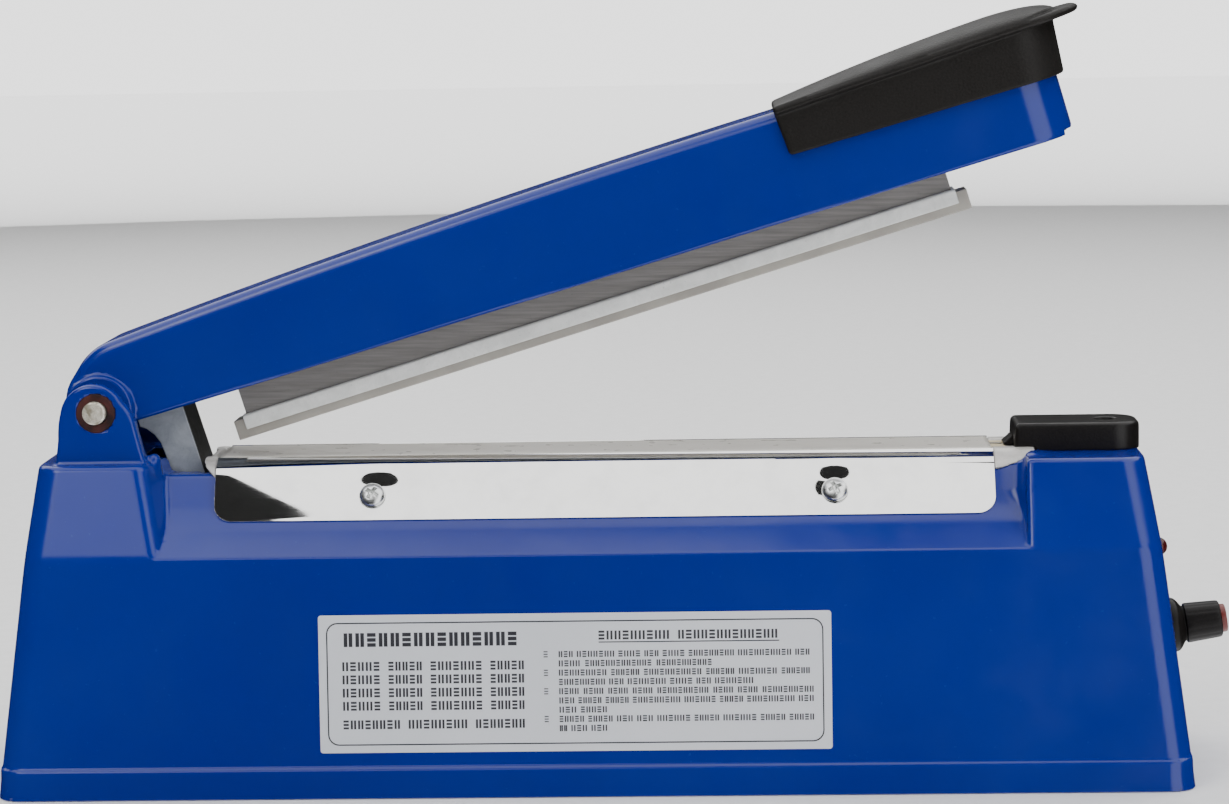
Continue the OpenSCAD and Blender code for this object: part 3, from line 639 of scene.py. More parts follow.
def pedestal(x, y, z, inner, end_x, front_y, top, inner_edge, top_edge):
    """Raised block at one end: its outer face leans to end_x and its front to front_y at the top."""
    outer, front = (-plane(across, z, (head, SHOULDER_Z), (at, top))
                    for across, head, at in zip((x, y), WALL_HEAD, (end_x, front_y)))
    d = soft_max(round_max(outer, front, CORNER), inner, inner_edge)
    return soft_max(d, z - top, top_edge)


def left_pedestal(x, y, z):
    inner = (x + 114.6 + 0.23 * (y - 27) + 0.283 * (z - 71.9)) / 1.065
    return pedestal(-x, y, z, inner, 149, 28, LEFT_TOP, 3.4, 1.3)


def right_pedestal(x, y, z):
    inner = (116.4 + 0.27 * (25.5 - y) - 0.108 * (z - RIGHT_TOP) - x) / 1.04
    return pedestal(x, y, z, inner, 148.6, 25.5, RIGHT_TOP, 2, 1.2)


def ridge(x, y, z):
    """Long slope under the clamp plates: a flat lower part and a steeper upper one."""
    low = soft_max(-plane(y, z, (WALL_HEAD[1], SHOULDER_Z), (CREASE_Y, 73.05)), z - 76, 1)
    high = soft_max(-plane(y, z, (CREASE_Y, 72.85), (16.7, RIDGE_TOP)), z - RIDGE_TOP, 0.8)
    return soft_min(low, high, 1.5) + 0.8 * np.maximum(abs(x) - 119, 0)


def ears(x, y, z):
    """Rounded hinge ears that stand on the left pedestal, outside the arm."""
    u, v = x - (PIVOT_X - 0.6), z - (PIVOT_Z - 1.2)
    flanks = soft_max(plane(u, v, (10.2, 2.4), (13.9, -12.6)), plane(-u, v, (8.7, 1), (10.6, -13)), 1)
    flanks = soft_max(flanks, plane(u, v, (-9, -1), (10.2, 2)), 4)
    outline = soft_min(np.hypot(u, v) - 8.85, flanks, 3.2)
    outline = np.maximum(outline, -(v + 16))
    slab = abs(y - sum(EAR_Y) / 2) - (EAR_Y[1] - EAR_Y[0]) / 2
    return soft_max(outline, slab, 1.3)


def housing_outside(x, y, z):
    """Ridge and pedestals with fillets that fade out towards the shoulder, on the lower walls."""
    rise = np.clip((z - SHOULDER_Z) / 14, 0.05, 1)
    top = soft_min(ridge(x, y, z), left_pedestal(x, y, z), 1.6 * rise)
    top = soft_min(top, right_pedestal(x, y, z), 8 * rise)
    return soft_max(lower_walls(abs(x), y, z), top, 0.4)


def housing(x, y, z):
    y = abs(y)
    outside = housing_outside(x, y, z)
    skirt = soft_max(round_max(abs(x) - SKIRT[0], y - SKIRT[1], CORNER), z - SKIRT_TOP, 0.5)
    lug = np.maximum(soft_max(np.hypot(x + 118.2, y - 18.6) - 1.9, z - LEFT_TOP - 2.2, 2.4), 75 - z)
    d = soft_min(soft_min(outside, skirt, 0.4), ears(x, y, z), 0.9)
    d = soft_min(d, lug, 1.2)
    hollow = np.maximum(outside + WALL, 1.5 - z)
    rim = np.maximum(soft_max(abs(x) - 157.6, y - 37.6, 6), z - 2)
    d = soft_max(d, -hollow, 0.4)
    d = np.maximum(d, -rim)
    pocket = soft_box(x, y, z, (-106.3, -12.5, POCKET_Z), (120.3, 12.5, 99), 0.5)
    slot = soft_box(x, y, z, (-123.2, -10.5, 40), (-103.3, 10.5, 99), 0.5)
    d = soft_max(d, -pocket, 0.5)
    d = soft_max(d, -slot, 0.5)
    bush = np.hypot(x - PIVOT_X - 0.3, z - PIVOT_Z + 0.1) - 5.25
    d = soft_max(d, -np.maximum(bush, 15 - y), 0.2)
    shaft = np.hypot(y, z - KNOB_Z - 0.5) - 4
    return np.maximum(np.maximum(d, -np.maximum(shaft, 140 - x)), -z)


def build_housing():
    obj = moulded("housing_shell", housing, (-162, -42, -1.5), (162, 42, 113), 1)
    finish(obj, "base", "blue_housing", "blue", "base_housing")


# ---- arm

ARM_HW = 16
ARM_END = 273.4
PIN_R, PIN_BORE_R = 3.15, 3.17


def crown(a):
    """Height of the arm's top above the pin's line."""
    return 20.95 - 1.55e-4 * (a - 172) ** 2


def arm_body(a, y, u, open_below=False):
    """Arm's outer form: y is measured outward from its middle plane, and never negative."""
    ramp = 0.755 * (u - 12) - 0.655 * (a + 2.9)
    top = soft_max(soft_max(u - crown(a), ramp, 3.5), -(a + 9.2), 4)
    end = -plane(a, u, (ARM_END, -9.5), (ARM_END + 0.3, 19))
    d = soft_max(top, round_max(end, y - ARM_HW, 12), 3.6)
    if open_below:
        return d
    foot = soft_max(-0.707 * (a + u) - 6.8, -5.9 - 0.0114 * a - u, 1)
    hub = soft_max(np.hypot(a, u) - 9.6, y - ARM_HW, 0.7)
    return soft_min(soft_max(d, foot, 0.7), hub, 0.6)


def arm_shell(a, y, u):
    y = abs(y)
    d = arm_body(a, y, u)
    boss = soft_max(np.hypot(a, u) - 9.3, abs(y - 16.6) - 1.5, 0.9)
    d = soft_min(d, boss, 0.9)
    cavity = arm_body(a, y, u, open_below=True) + WALL
    d = soft_max(d, -cavity, 0.5)
    notch = soft_box(a, y, u, (ARM_END - 10, -10.7, -40), (ARM_END + 10, 10.7, -7.6), 0.3)
    d = soft_max(d, -notch, 0.5)
    return np.maximum(d, PIN_BORE_R - np.hypot(a, u))


def build_arm():
    obj = moulded("arm_moulding", arm_shell, (-13, -20, -13), (276, 20, 24), 0.9, ARM)
    finish(obj, "arm", "blue_housing", "blue", "arm_shell")


# ---- grip

GRIP_START = 198
FLANGE_T = 2.15


def grip_shape(a, y, u):
    """Skirt round the arm's end, a thin flange over it that runs out into a lip, and a dome on top."""
    y = abs(y)
    along = a - GRIP_START
    rail = 19.95 + 0.0212 * along
    left = plane(a, u, (GRIP_START + 0.9, 8.2), (GRIP_START, 23.5))
    skirt = round_max(-plane(a, u, (275.5, 7), (276.7, 20.6)), y - 18.2, 12.5)
    skirt = soft_max(skirt, 8.6 - 0.02 * along - u, 0.8)
    skirt = np.maximum(skirt, u - rail - 1)
    flange = round_max(a - 284.2, y - 19.8, 15)
    flange = soft_max(flange, abs(u - rail - FLANGE_T / 2) - FLANGE_T / 2, 1.6)
    height = 1 + 2.9 * (1 - (1 - np.clip(along / 60, 0, 1)) ** 2)
    height = height * np.sqrt(np.clip(1 - (np.maximum(a - 258, 0) / 20.2) ** 2, 0, 1))
    across = np.clip(1 - (y / 19.2) ** 2, 0, 1) ** 0.5
    dome = (u - rail - FLANGE_T + 0.3 - (height + 0.3) * across) * 0.8
    dome = np.maximum(soft_max(dome, round_max(a - 279, y - 19.2, 13), 0.6), rail + 1 - u)
    return soft_max(soft_min(soft_min(skirt, flange, 0.6), dome, 0.7), left, 1.2)


def grip_solid(a, y, u):
    return soft_max(grip_shape(a, y, u), 0.08 - arm_body(a, abs(y), u), 0.3)


def build_grip():
    obj = moulded("grip_cap", grip_solid, (195, -22, 5), (287, 22, 31), 0.75, ARM)
    finish(obj, "arm", "black_plastic", "grip", "grip")


# ---- lever

LEVER_A = (11.7, 20.6)
LEVER_TOP = 4.4
CHEEK_Y, SHEET_T = 9.2, 1.5
# Middle of the rod that the return spring hooks on, in arm space
SPRING_HOOK = (16, 0, -45.5)


def rectangle(x0, y0, x1, y1):
    return [(x0, y0), (x1, y0), (x1, y1), (x0, y1)]


def build_lever():
    """Channel-section steel leg: two flared cheeks and a web, pressed from one sheet."""
    near, far = LEVER_A
    outline = [(far, LEVER_TOP), (far, -49), (near, -49), (near, -17)]
    outline += [(11.5, -14.2), (10.6, -11.6), (9, -9.4), (7.5, -8.4), (7.5, LEVER_TOP)]
    for name, depth, stands_for in (("front", (CHEEK_Y, CHEEK_Y - SHEET_T), ["lever_leg"]),
                                    ("rear", (SHEET_T - CHEEK_Y, -CHEEK_Y), [])):
        cheek = prism("lever_cheek_" + name, outline, depth, ARM @ QUARTER_X, 0.3)
        finish(cheek, "arm", "zinc_steel", "zinc", *stands_for)
    # The web takes the darker copy of the zinc: painted shade on the face turned from the light
    web = prism("lever_web", rectangle(19.1, -9.1, 20.75, 9.1), (-40, LEVER_TOP), ARM, 0.2)
    finish(web, "arm", "zinc_steel", "zinc_painted_shade")
    strap = prism("lever_strap", rectangle(near, -7.65, near + SHEET_T, 7.65), (-41, -33), ARM, 0.2)
    finish(strap, "arm", "zinc_steel", "zinc")
    rod = lathe("lever_rod", [(0.9, -8.6), (1.2, -8.3), (1.2, 8.3), (0.9, 8.6)],
                ARM @ shift(*SPRING_HOOK) @ QUARTER_X, 24)
    finish(rod, "arm", "zinc_steel", "steel")


# ---- press bar

BAR_A = (34.8, 238.4)
BAR_U = (-18.1, -14)
STRIP_U = -20.45


def along_arm():
    """Matrix whose Z runs along the arm, X across it to the front and Y up."""
    return ARM @ Matrix(((0, 0, 1, 0), (-1, 0, 0, 0), (0, 1, 0, 0), (0, 0, 0, 1)))


def build_press_bar():
    foot, top = BAR_U
    section = [(-6.5, foot), (-5.55, foot), (-5.55, top - 1), (5.55, top - 1), (5.55, foot), (6.5, foot),
               (6.5, top - 0.5), (6, top), (-6, top), (-6.5, top - 0.5)]
    bar = prism("press_bar_channel", section, BAR_A, along_arm(), 0.28)
    finish(bar, "press_bar", "aluminium", "aluminium", "press_bar")
    strip = [(-5.5, STRIP_U + 0.3), (-5.2, STRIP_U), (5.2, STRIP_U), (5.5, STRIP_U + 0.3), (5.5, top - 1),
             (-5.5, top - 1)]
    pad = prism("silicone_pad", strip, (BAR_A[0] - 3, BAR_A[1] + 3), along_arm(), 0.35)
    finish(pad, "press_bar", "silicone", "silicone", "silicone_strip")


# ---- bed, cloth and plates

BED_X = (-105.3, 119.9)
BED_HW = 12
BED_TOP = 88.3
SEAL_Z = 89
PLATE_X = (-101.5, 108.7)
FOLD = (-16.6, 86.6)
FOOT = (-25.6, 73.3)
PLATE_LENGTH = PLATE_X[1] - PLATE_X[0]
PLATE_T, PLATE_CORNER = 0.75, 5
CLOTH_INSET, CLOTH_T = 0.3, 0.12
PLATE_SCREW_X = (-58.8, 65.8)
PLATE_SCREW_Z = 79.3
# Place, depth and spread of the dents that the screws pull into the plate
PLATE_DENTS = ((-57.4, 0.46, 7), (66, 0.42, 5.2))
RIBBON_X = (-96.5, 111.5)


def bed_wing(x, y, z):
    """Shoulder of the bed that shows past each end of the clamp plates, cut off on a slant below."""
    upper = plane(y, z, (12.95, 88.95), (-FOLD[0], FOLD[1])) + 0.3
    lower = plane(y, z, (-FOLD[0], FOLD[1]), (-FOOT[0], FOOT[1])) + 0.3
    form = soft_max(soft_max(upper, lower, 0.8), soft_max(z - BED_TOP - 0.5, 8 - y, 0.5), 0.8)
    left = soft_max(-plane(x, z, (-104.8, 86.9), (-101, 83.2)), BED_X[0] - x, 1)
    left = np.maximum(left, x - PLATE_X[0] + 0.15)
    right = soft_max(-plane(x, z, (108.8, 83.6), (119.6, 86.9)), x - BED_X[1], 0.8)
    right = np.maximum(right, PLATE_X[1] + 0.15 - x)
    return soft_max(form, np.minimum(left, right), 0.35)


def bed_solid(x, y, z):
    y = abs(y)
    top = z - BED_TOP - 0.6 * np.clip(-102 - x, 0, 1)
    d = round_max(BED_X[0] - x, top, 2)
    d = soft_max(d, x - BED_X[1], 0.8)
    d = soft_max(d, -plane(x, z, (BED_X[0], 85.5), (-101.5, POCKET_Z)), 1.4)
    d = soft_max(d, POCKET_Z - z, 0.8)
    d = soft_max(d, -plane(x, z, (109.4, POCKET_Z), (115.5, 84.4)), 3)
    d = soft_max(d, -plane(x, z, (114.5, 83.9), (120.2, 88.2)), 3)
    d = soft_max(d, y - BED_HW, 1.6)
    d = soft_min(d, bed_wing(x, y, z), 0.4)
    for at in RIBBON_X:
        d = np.maximum(d, -np.maximum(abs(x - at) - 0.8, y - 1.6))
    return d


def build_bed():
    obj = moulded("bed_rail", bed_solid, (-107, -20.5, 80.5), (121.5, 20.5, 90), 0.6)
    finish(obj, "base", "aluminium", "bed_metal", "bed")


def cloth_path():
    """Section of the cloth over the bed: up one side, across the top, down the other."""
    side, foot, r = BED_HW + 0.18, 83.2, 1.3
    top = SEAL_Z - 0.06
    half = [(-side, foot), (-side, 84.6), (-side, 86), (-side, top - r)]
    half += arc(-side + r, top - r, r, 180, 90, 5)[1:]
    half += [(y, top) for y in (-9.5, -8, -6.4, -4.8, -3.2, -1.6)]
    return half + [(0, top)] + [(-y, z) for y, z in reversed(half)]


def build_cloth():
    """Thin coated cloth stretched over the ribbon, with slight ripples and the ribbon's line showing."""
    path = cloth_path()
    length = PLATE_LENGTH - 2 * CLOTH_INSET
    rows = 150
    points = []
    for i in range(rows + 1):
        x = PLATE_X[0] + CLOTH_INSET + length * i / rows
        for y, z in path:
            ripple = 0.015 * sin(x * 0.21 + 1.3 * sin(x * 0.05)) * sin(y * 0.55 + x * 0.03)
            ribbon = 0 if abs(y) > 1.4 else 0.02
            lift = ripple + ribbon if abs(y) < BED_HW - 1.5 else 0
            points.append(mm(x, y, z + lift))
    obj = mesh_object("sealing_cloth", points, grid_faces(rows, len(path) - 1, flip=True))
    smooth(obj, 60)
    thicken(obj, "cloth", CLOTH_T)
    finish(obj, "base", "ptfe", "cloth", "ptfe_cloth")


def plate_profile():
    """Outer line of the clamp plate from its upper edge to its foot, rounded at the fold."""
    top, fold = Vector((-12.95, SEAL_Z - 0.05)), Vector(FOLD)
    b = fold + (Vector(FOOT) - fold).normalized() * 1.4
    crown = top.lerp(fold, 0.5) + Vector((top.y - fold.y, fold.x - top.x)).normalized() * -0.42
    line = []
    for t in [i / 18 for i in range(19)]:
        first, second, third = top.lerp(crown, t), crown.lerp(fold, t), fold.lerp(b, t)
        line.append(first.lerp(second, t).lerp(second.lerp(third, t), t))
    below = [i / 20 for i in range(1, 13)] + [0.64 + 0.36 * sin(pi / 2 * i / 16) for i in range(17)]
    return line + [b.lerp(Vector(FOOT), t) for t in below]


def build_plate(name, node, mirror):
    """Polished strip folded lengthways, with rounded lower corners and its left end sprung outward."""
    line = plate_profile()
    columns = 120
    points = []
    for p in line:
        rest = max(0, PLATE_CORNER - (p - line[-1]).length)
        inset = PLATE_CORNER - sqrt(max(PLATE_CORNER ** 2 - rest * rest, 0))
        down = max(0, (FOLD[1] - p.y) / (FOLD[1] - FOOT[1]))
        up = max(0, (p.y - FOLD[1]) / (line[0].y - FOLD[1]))
        sprung = (1 - down) * (1.22 + 0.49 * down - 0.56 * down * down) * (1 - up)
        for i in range(columns + 1):
            along = inset + (PLATE_LENGTH - 2 * inset) * i / columns
            x = PLATE_X[0] + along
            bow = 0.05 * sin(along * 0.027 + 0.8) + 0.02 * sin(x * 0.071)
            bow *= sin(pi * min(1, down * 1.05))
            bow += sprung * exp(-along / 16)
            for at, depth, spread in PLATE_DENTS:
                bow -= depth * exp(-((x - at) / spread) ** 2 - ((p.y - PLATE_SCREW_Z - 1.2) / 4.2) ** 2)
            points.append(mm(x, (p.x - bow) * (-1 if mirror else 1), p.y))
    obj = mesh_object(name, points, grid_faces(len(line) - 1, columns, mirror))
    smooth(obj, 60)
    thicken(obj, "sheet", PLATE_T)
    bevel_edges(obj, 0.2, sharper_than=50)
    finish(obj, "base", "polished_plate", "mirror", node)


def build_plates():
    build_plate("clamp_plate_front", "front_plate", False)
    build_plate("clamp_plate_rear", "rear_plate", True)


RECESS_TURN = radians(17)


def screw_head(x, y, z):
    """Pan head with a cross recess: axis along z, seat at z = 0."""
    r = np.hypot(x, y)
    ball = np.sqrt(r * r + (z + 3.2) ** 2) - 5.45
    d = soft_max(soft_max(r - 3.6, ball, 0.9), -z, 0.3)
    shank = np.maximum(np.maximum(r - 1.5, -6 - z), z - 0.5)
    c, s = cos(RECESS_TURN), sin(RECESS_TURN)
    u, v = abs(x * c + y * s), abs(y * c - x * s)
    deep = 2.3 - z
    long, narrow = 2.1 - deep * 0.55, 0.48 - deep * 0.08
    cross = soft_min(np.maximum(u - long, v - narrow), np.maximum(v - long, u - narrow), 0.3)
    recess = np.maximum(cross, 0.55 - z)
    return np.minimum(soft_max(d, -recess, 0.25), shank)


def build_plate_screws():
    lean = atan2(FOLD[0] - FOOT[0], FOLD[1] - FOOT[1])
    y = FOOT[0] + (PLATE_SCREW_Z - FOOT[1]) * tan(lean)
    stands_for = ["plate_screws"]
    ends = zip(("left", "right"), PLATE_SCREW_X, (0.7, 0.15))
    for (row, side), (end, x, turn) in product((("front", 1), ("rear", -1)), ends):
        place = shift(x, y * side, PLATE_SCREW_Z) @ Matrix.Rotation(side * (pi / 2 - lean), 4, "X")
        screw = moulded(f"plate_screw_{row}_{end}", screw_head, (-4, -4, -6.5), (4, 4, 3), 0.16,
                        place @ Matrix.Rotation(turn, 4, "Z"))
        finish(screw, "base", "nickel", "nickel", *stands_for)
        stands_for = []


# ---- end cap

CAP_X = (114.6, 149)
CAP_TOP = 95.1
CAP_HW = 10.2
CAP_SCREW_X = 140


def cap_solid(x, y, z):
    y = abs(y)
    d = round_max(x - CAP_X[1], y - CAP_HW, 7.5)
    d = np.maximum(d, round_max(CAP_X[0] - x + 0.05 * (z - 88), y - CAP_HW, 1))
    d = soft_max(d, z - CAP_TOP, 1.7)
    d = soft_max(d, 87.45 - z, 0.3)
    tongue = np.maximum(-plane(x, z, (CAP_X[0] + 0.5, 91.7), (112, 88.9)), y - 4)
    tongue = np.maximum(np.maximum(tongue, x - 116), np.maximum(88.75 - z, 112.1 - x))
    d = soft_min(d, tongue, 0.3)
    bed = soft_box(x, y, z, (100, -12.2, 80), (120.3, 12.2, 88.7), 0.2)
    d = soft_max(d, -bed, 0.3)
    r = np.hypot(x - CAP_SCREW_X, y)
    return soft_max(np.maximum(d, 1.65 - r), -np.maximum(r - 2.8, 90.6 - z), 0.7)


def build_end_cap():
    obj = moulded("bed_end_cap", cap_solid, (110, -13.5, 86), (151, 13.5, 97.5), 0.55)
    finish(obj, "base", "black_plastic", "cap", "end_cap")


# ---- hinge pin and bushes


def build_hinge():
    pin = [(0.3, -27), (PIN_R - 0.3, -27), (PIN_R, -26.8), (PIN_R, 23.6), (PIN_R, 24.9),
           (PIN_R - 0.06, 25.1), (PIN_R - 0.22, 25.25), (PIN_R - 0.6, 25.35), (1.2, 25.42), (0.3, 25.42)]
    pin = lathe("hinge_pin_turned", pin, Matrix.Translation(HINGE) @ QUARTER_X)
    finish(pin, "base", "nickel", "pin", "hinge_pin")
    ring = [(3.2, 18.6), (5.3, 18.6), (5.3, 23.75), (5.1, 23.95), (4.2, 24), (3.5, 23.95), (3.2, 23.7)]
    centre = shift(PIVOT_X + 0.3, 0, PIVOT_Z - 0.1)
    for name, turn, stands_for in (("front", QUARTER_X, ["hinge_bushes"]),
                                   ("rear", QUARTER_X.inverted(), [])):
        bush = lathe("hinge_bush_" + name, ring, centre @ turn, 56, closed=True)
        finish(bush, "base", "phenolic", "fibre", *stands_for)


# ---- knob, lens, label


def on_axis(point, axis):
    """Matrix that stands on point with Z along axis."""
    return Matrix.Translation(Vector(point)) @ Vector(axis).to_track_quat("Z", "Y").to_matrix().to_4x4()


def build_knob():
    joint = JOINTS["knob_turn"]
    place = on_axis(joint["pos_m"], joint["axis"])
    skirt = [(6.6, 0.55), (7.15, 0.6), (7.4, 0.85), (7.45, 1.2), (7.42, 3.2), (7.2, 3.75), (6.7, 4.3),
             (5.9, 4.9), (5.2, 5.35), (4.85, 5.7), (4.8, 5.95)]
    body = [(5.2, 6.1), (5.42, 6.3), (5.48, 6.6), (5.42, 8), (5.28, 11), (5.1, 14.2), (5.04, 15.1),
            (4.9, 15.6), (4.5, 15.85), (4.05, 15.85), (3.95, 15.6)]

    flute_foot, flute_top, flutes, flute_depth = 6.2, 15.7, 14, 0.13

    def fluted(r, h, t):
        """Wide shallow flutes round the body, none on the skirt."""
        if not flute_foot < h < flute_top:
            return r
        wave = abs(cos(flutes / 2 * t)) ** 0.5
        return r - flute_depth * (1 - wave) * min(1, (h - flute_foot) / 0.5)

    knob = lathe("time_knob_body", [(3.2, 0.6)] + skirt + body + [(3.2, 15.6)], place, 144, fluted)
    finish(knob, "time_knob", "black_plastic", "knob", "knob")
    cap = [(3.2, 15.2), (3.85, 15.3), (3.85, 16.9), (3.75, 17.2), (3.5, 17.35), (2.6, 17.42), (1.2, 17.35),
           (0.2, 17.3)]
    finish(lathe("time_knob_cap", cap, place), "time_knob", "red_plastic", "red", "knob_cap")


def wall_at(z, side):
    """How far the lower wall is from the middle at height z: side 0 is the end wall, 1 the front."""
    share = (z - SKIRT_TOP) / (SHOULDER_Z - SKIRT_TOP)
    return WALL_FOOT[side] + (WALL_HEAD[side] - WALL_FOOT[side]) * share


LENS_R, LENS_Z = 2.45, 59.2


def build_lens():
    dome = [(0.3, -6), (2.4, -6), (LENS_R, 0)]
    dome += [(LENS_R * cos(t), 1.8 + 2.3 * sin(t)) for t in [radians(11 * i) for i in range(9)]]
    foot = mm(wall_at(LENS_Z, 0), 0, LENS_Z)
    lens = lathe("indicator_dome", dome, on_axis(foot, JOINTS["knob_turn"]["axis"]), 48)
    finish(lens, "base", "red_lens", "lens", "indicator_lens")


LABEL_C = (-4.2, 31)
LABEL_SIZE = (136.6, 37)
PRINT_HEIGHT = 0.265
# Small print: left edge, its numbers' left edge, first line's foot, pitch and height; the table's likewise
SMALL_X, SMALL_NUMBER_X, SMALL_Y, SMALL_PITCH, SMALL_H = -4.2, -8.2, 6.7, 2.48, 1.65
TABLE_X, TABLE_Y, TABLE_PITCH, TABLE_H = -62, 3.55, 3.55, 2.4


def rounded_outline(inset, r):
    """The label's outline drawn in at its ends and its sides, with corners of radius r."""
    x, y = (size / 2 - away - r for size, away in zip(LABEL_SIZE, inset))
    corners = ((x, y, 0), (-x, y, 90), (-x, -y, 180), (x, -y, 270))
    return [p for cx, cy, a in corners for p in arc(cx, cy, r, a, a + 90, 6)]


def label_rows():
    """Rectangles (x, y, width, height) in the label's plane that stand for lines of print: no letters."""
    strips = []

    def mark(x, y, w, h, stroke, upright):
        if upright:
            strips.extend([(x, y, stroke, h), (x + w - stroke, y, stroke, h)])
        else:
            strips.extend((x, y + (h - stroke) * i / 2, w, stroke) for i in range(3))

    def row(x, y, width, height, words, weight=0.235):
        """Line of print: words gives relative lengths, and weight is a stroke's share of the height."""
        unit = width / (sum(words) + 0.35 * (len(words) - 1))
        for w in words:
            marks = max(1, round(w * unit / (height * 0.86)))
            pitch = w * unit / marks
            for i in range(marks):
                mark(x + i * pitch, y, pitch * 0.74, height, height * weight, (i * 7 + int(w * 10)) % 3 > 0)
            x += (w + 0.35) * unit

    row(-61.5, 10, 47, 3.7, [7], 0.27)
    for i in range(4):
        row(TABLE_X, TABLE_Y - TABLE_PITCH * i, 49, TABLE_H, [2, 1.8, 2.7, 1.8])
    row(TABLE_X, -12.1, 49, TABLE_H, [3, 3.1, 2.6])
    row(6.5, 11.3, 48, 2.4, [3.6, 5])
    strips.append((6.5, 10.5, 48, 0.3))
    lines = ((67, [2, 5, 3, 2, 3, 6, 7, 2]), (41, [2, 6, 5]), (67, [5, 3, 6, 3, 4, 3]),
             (52, [6, 2, 5, 3, 2, 5]), (68, [2, 2, 2, 2, 5, 2, 2, 5]), (68, [2, 3, 3, 6, 4, 3, 6, 2]),
             (13, [2, 3]), (68, [3, 3, 2, 2, 4, 3, 4, 3, 3]), (13, [1, 2, 2]))
    for i, (width, words) in enumerate(lines):
        row(SMALL_X, SMALL_Y - SMALL_PITCH * i, width, SMALL_H, words)
    for i in (0, 2, 4, 7):
        mark(SMALL_NUMBER_X, SMALL_Y - SMALL_PITCH * i, 1.1, SMALL_H, 0.3, False)
    return strips


def build_label():
    lean = atan((WALL_FOOT[1] - WALL_HEAD[1]) / (SHOULDER_Z - SKIRT_TOP))
    place = shift(LABEL_C[0], -wall_at(LABEL_C[1], 1), LABEL_C[1]) @ Matrix.Rotation(pi / 2 - lean, 4, "X")
    film = prism("label_film", rounded_outline((0, 0), 0.8), (0.02, 0.25), place, 0.06, 2)
    finish(film, "base", "label", "film", "label_plate")
    outline = [p for x, y, w, h in label_rows() for p in rectangle(x, y, x + w, y + h)]
    faces = [tuple(range(i, i + 4)) for i in range(0, len(outline), 4)]
    outer, inner = rounded_outline((2.1, 2), 3), rounded_outline((2.45, 2.35), 2.7)
    start, n = len(outline), len(outer)
    faces += [(start + i, start + (i + 1) % n, start + n + (i + 1) % n, start + n + i) for i in range(n)]
    points = [place @ mm(x, y, PRINT_HEIGHT) for x, y in outline + outer + inner]
    finish(mesh_object("label_print", points, faces), "base", "label", "ink")


# ---- springs


SPRING_POST = (-62, 0, 62)
BAR_SPRING_A, BAR_SPRING_U = (85, 190), (-10.6, 4)


def finish_spring(obj, nodes):
    """Paints a spring steel, bakes its place into its mesh, and hides the CAD parts that it stands for."""
    paint(obj, "steel")
    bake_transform(obj)
    if nodes:
        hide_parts(*nodes)


def build_springs():
    hook, post = ARM @ mm(*SPRING_HOOK), mm(*SPRING_POST)
    spring = coil("return_spring_wire", hook, post, 3.4, 0.6, 22, hooks=True)
    finish_spring(spring, ["return_spring"])
    for i, a in enumerate(BAR_SPRING_A):
        foot, top = (ARM @ mm(a, 0, u) for u in BAR_SPRING_U)
        bar_spring = coil(f"bar_spring_{i}", foot, top, 2.5, 0.4, 9)
        finish_spring(bar_spring, ["bar_springs"] if i == 0 else [])


# ---- stage


# The cards' distance from their middle, that middle's height, and the step of their mesh in degrees
CARD_DISTANCE, CARD_HEIGHT, CARD_STEP = 2.3, 0.1, 6
# Each card's span in azimuth and in elevation, in degrees: azimuth 0 is in front and 90 at the knob's end
CARDS = {
    "front_card": ((-180, 17), (-40, 20)),
    "right_card": ((60, 180), (-40, 30)),
    "front_right_card": ((-2, 30), (20, 41)),
    "front_high_card": ((-38, 30), (41, 54.5)),
    "left_card": ((-115, -38), (20, 48)),
    "right_high_card": ((13.5, 30), (54.5, 66)),
}
FLOOR_HALF = 6
WORLD_STRENGTH = 2.2
LIGHT_POWER, LIGHT_SIZE = 5, (0.7, 0.5)
LIGHT_AT, LIGHT_AIM = Vector((-0.75, -1, 1.15)), Vector((0, 0, 0.09))


def degree_steps(low, high):
    count = max(2, round((high - low) / CARD_STEP))
    return [radians(low + (high - low) * i / count) for i in range(count + 1)]


def dark_card(name, azimuth, elevation):
    """Black card bent round the object, seen in reflections only."""
    across, up = degree_steps(*azimuth), degree_steps(*elevation)
    points = []
    for a, e in product(across, up):
        away = Vector((sin(a) * cos(e), -cos(a) * cos(e), sin(e)))
        points.append(Vector((0, 0, CARD_HEIGHT)) + away * CARD_DISTANCE)
    card = mesh_object(name, points, grid_faces(len(across) - 1, len(up) - 1, flip=True))
    paint(card, "card")
    card.visible_camera = False
    card.visible_shadow = False


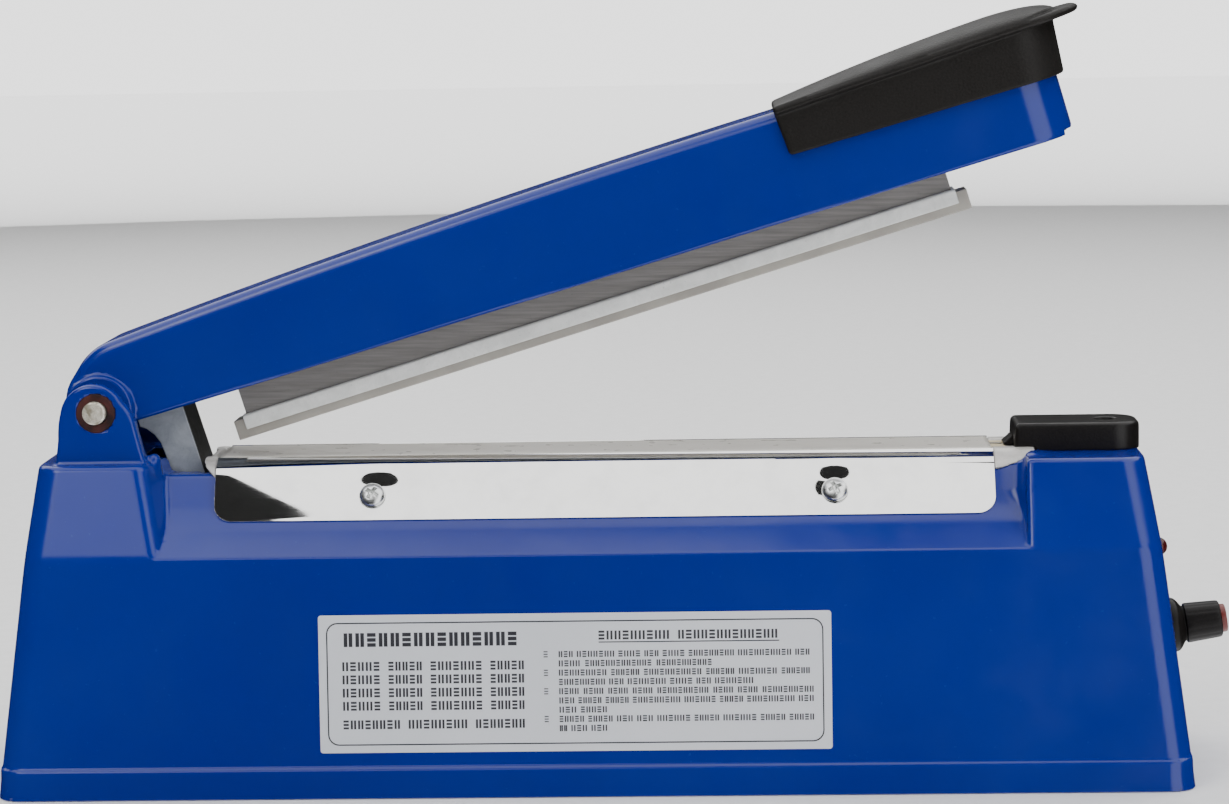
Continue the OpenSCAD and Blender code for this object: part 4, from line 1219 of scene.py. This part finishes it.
def build_stage():
    corners = [(x * FLOOR_HALF, y * FLOOR_HALF, 0) for x, y in rectangle(-1, -1, 1, 1)]
    floor = mesh_object("floor", corners, [(0, 1, 2, 3)])
    paint(floor, "floor")
    floor.visible_glossy = False
    for name, spans in CARDS.items():
        dark_card(name, *spans)

    world = bpy.data.worlds.new("studio")
    bpy.context.scene.world = world
    world.use_nodes = True
    back = world.node_tree.nodes["Background"]
    back.inputs["Strength"].default_value = WORLD_STRENGTH
    back.inputs["Color"].default_value = (1, 1, 1, 1)

    light = bpy.data.lights.new("front_left", "AREA")
    light.shape = "RECTANGLE"
    light.size, light.size_y = LIGHT_SIZE
    light.energy = LIGHT_POWER
    lamp = new_object("front_left", light)
    lamp.location = LIGHT_AT
    lamp.rotation_euler = (LIGHT_AIM - LIGHT_AT).to_track_quat("-Z", "Y").to_euler()


SENSOR_WIDTH, FOCAL_LENGTH = 36, 101.97
YAW_PITCH_ROLL = (2.323, 6.979, 1.043)
CAMERA_AT = (0.0446, -0.9473, 0.2173)


def build_camera():
    data = bpy.data.cameras.new("camera")
    data.sensor_fit = "HORIZONTAL"
    data.sensor_width, data.lens = SENSOR_WIDTH, FOCAL_LENGTH
    data.clip_start, data.clip_end = 0.05, 30
    cam = new_object("camera", data)
    yaw, pitch, roll = (radians(a) for a in YAW_PITCH_ROLL)
    ahead = Vector((-sin(yaw) * cos(pitch), cos(yaw) * cos(pitch), -sin(pitch)))
    right = Vector((cos(yaw), sin(yaw), 0))
    up = right.cross(ahead)
    right, up = cos(roll) * right - sin(roll) * up, sin(roll) * right + cos(roll) * up
    turn = Matrix((right, up, -ahead)).transposed().to_4x4()
    cam.matrix_world = Matrix.Translation(CAMERA_AT) @ turn
    bpy.context.scene.camera = cam


# ---- build

for build in (build_camera, finish_cad_nodes, build_housing, build_arm, build_grip, build_lever,
              build_press_bar, build_bed, build_cloth, build_plates, build_plate_screws, build_end_cap,
              build_hinge, build_knob, build_lens, build_label, build_springs, build_stage):
    build()
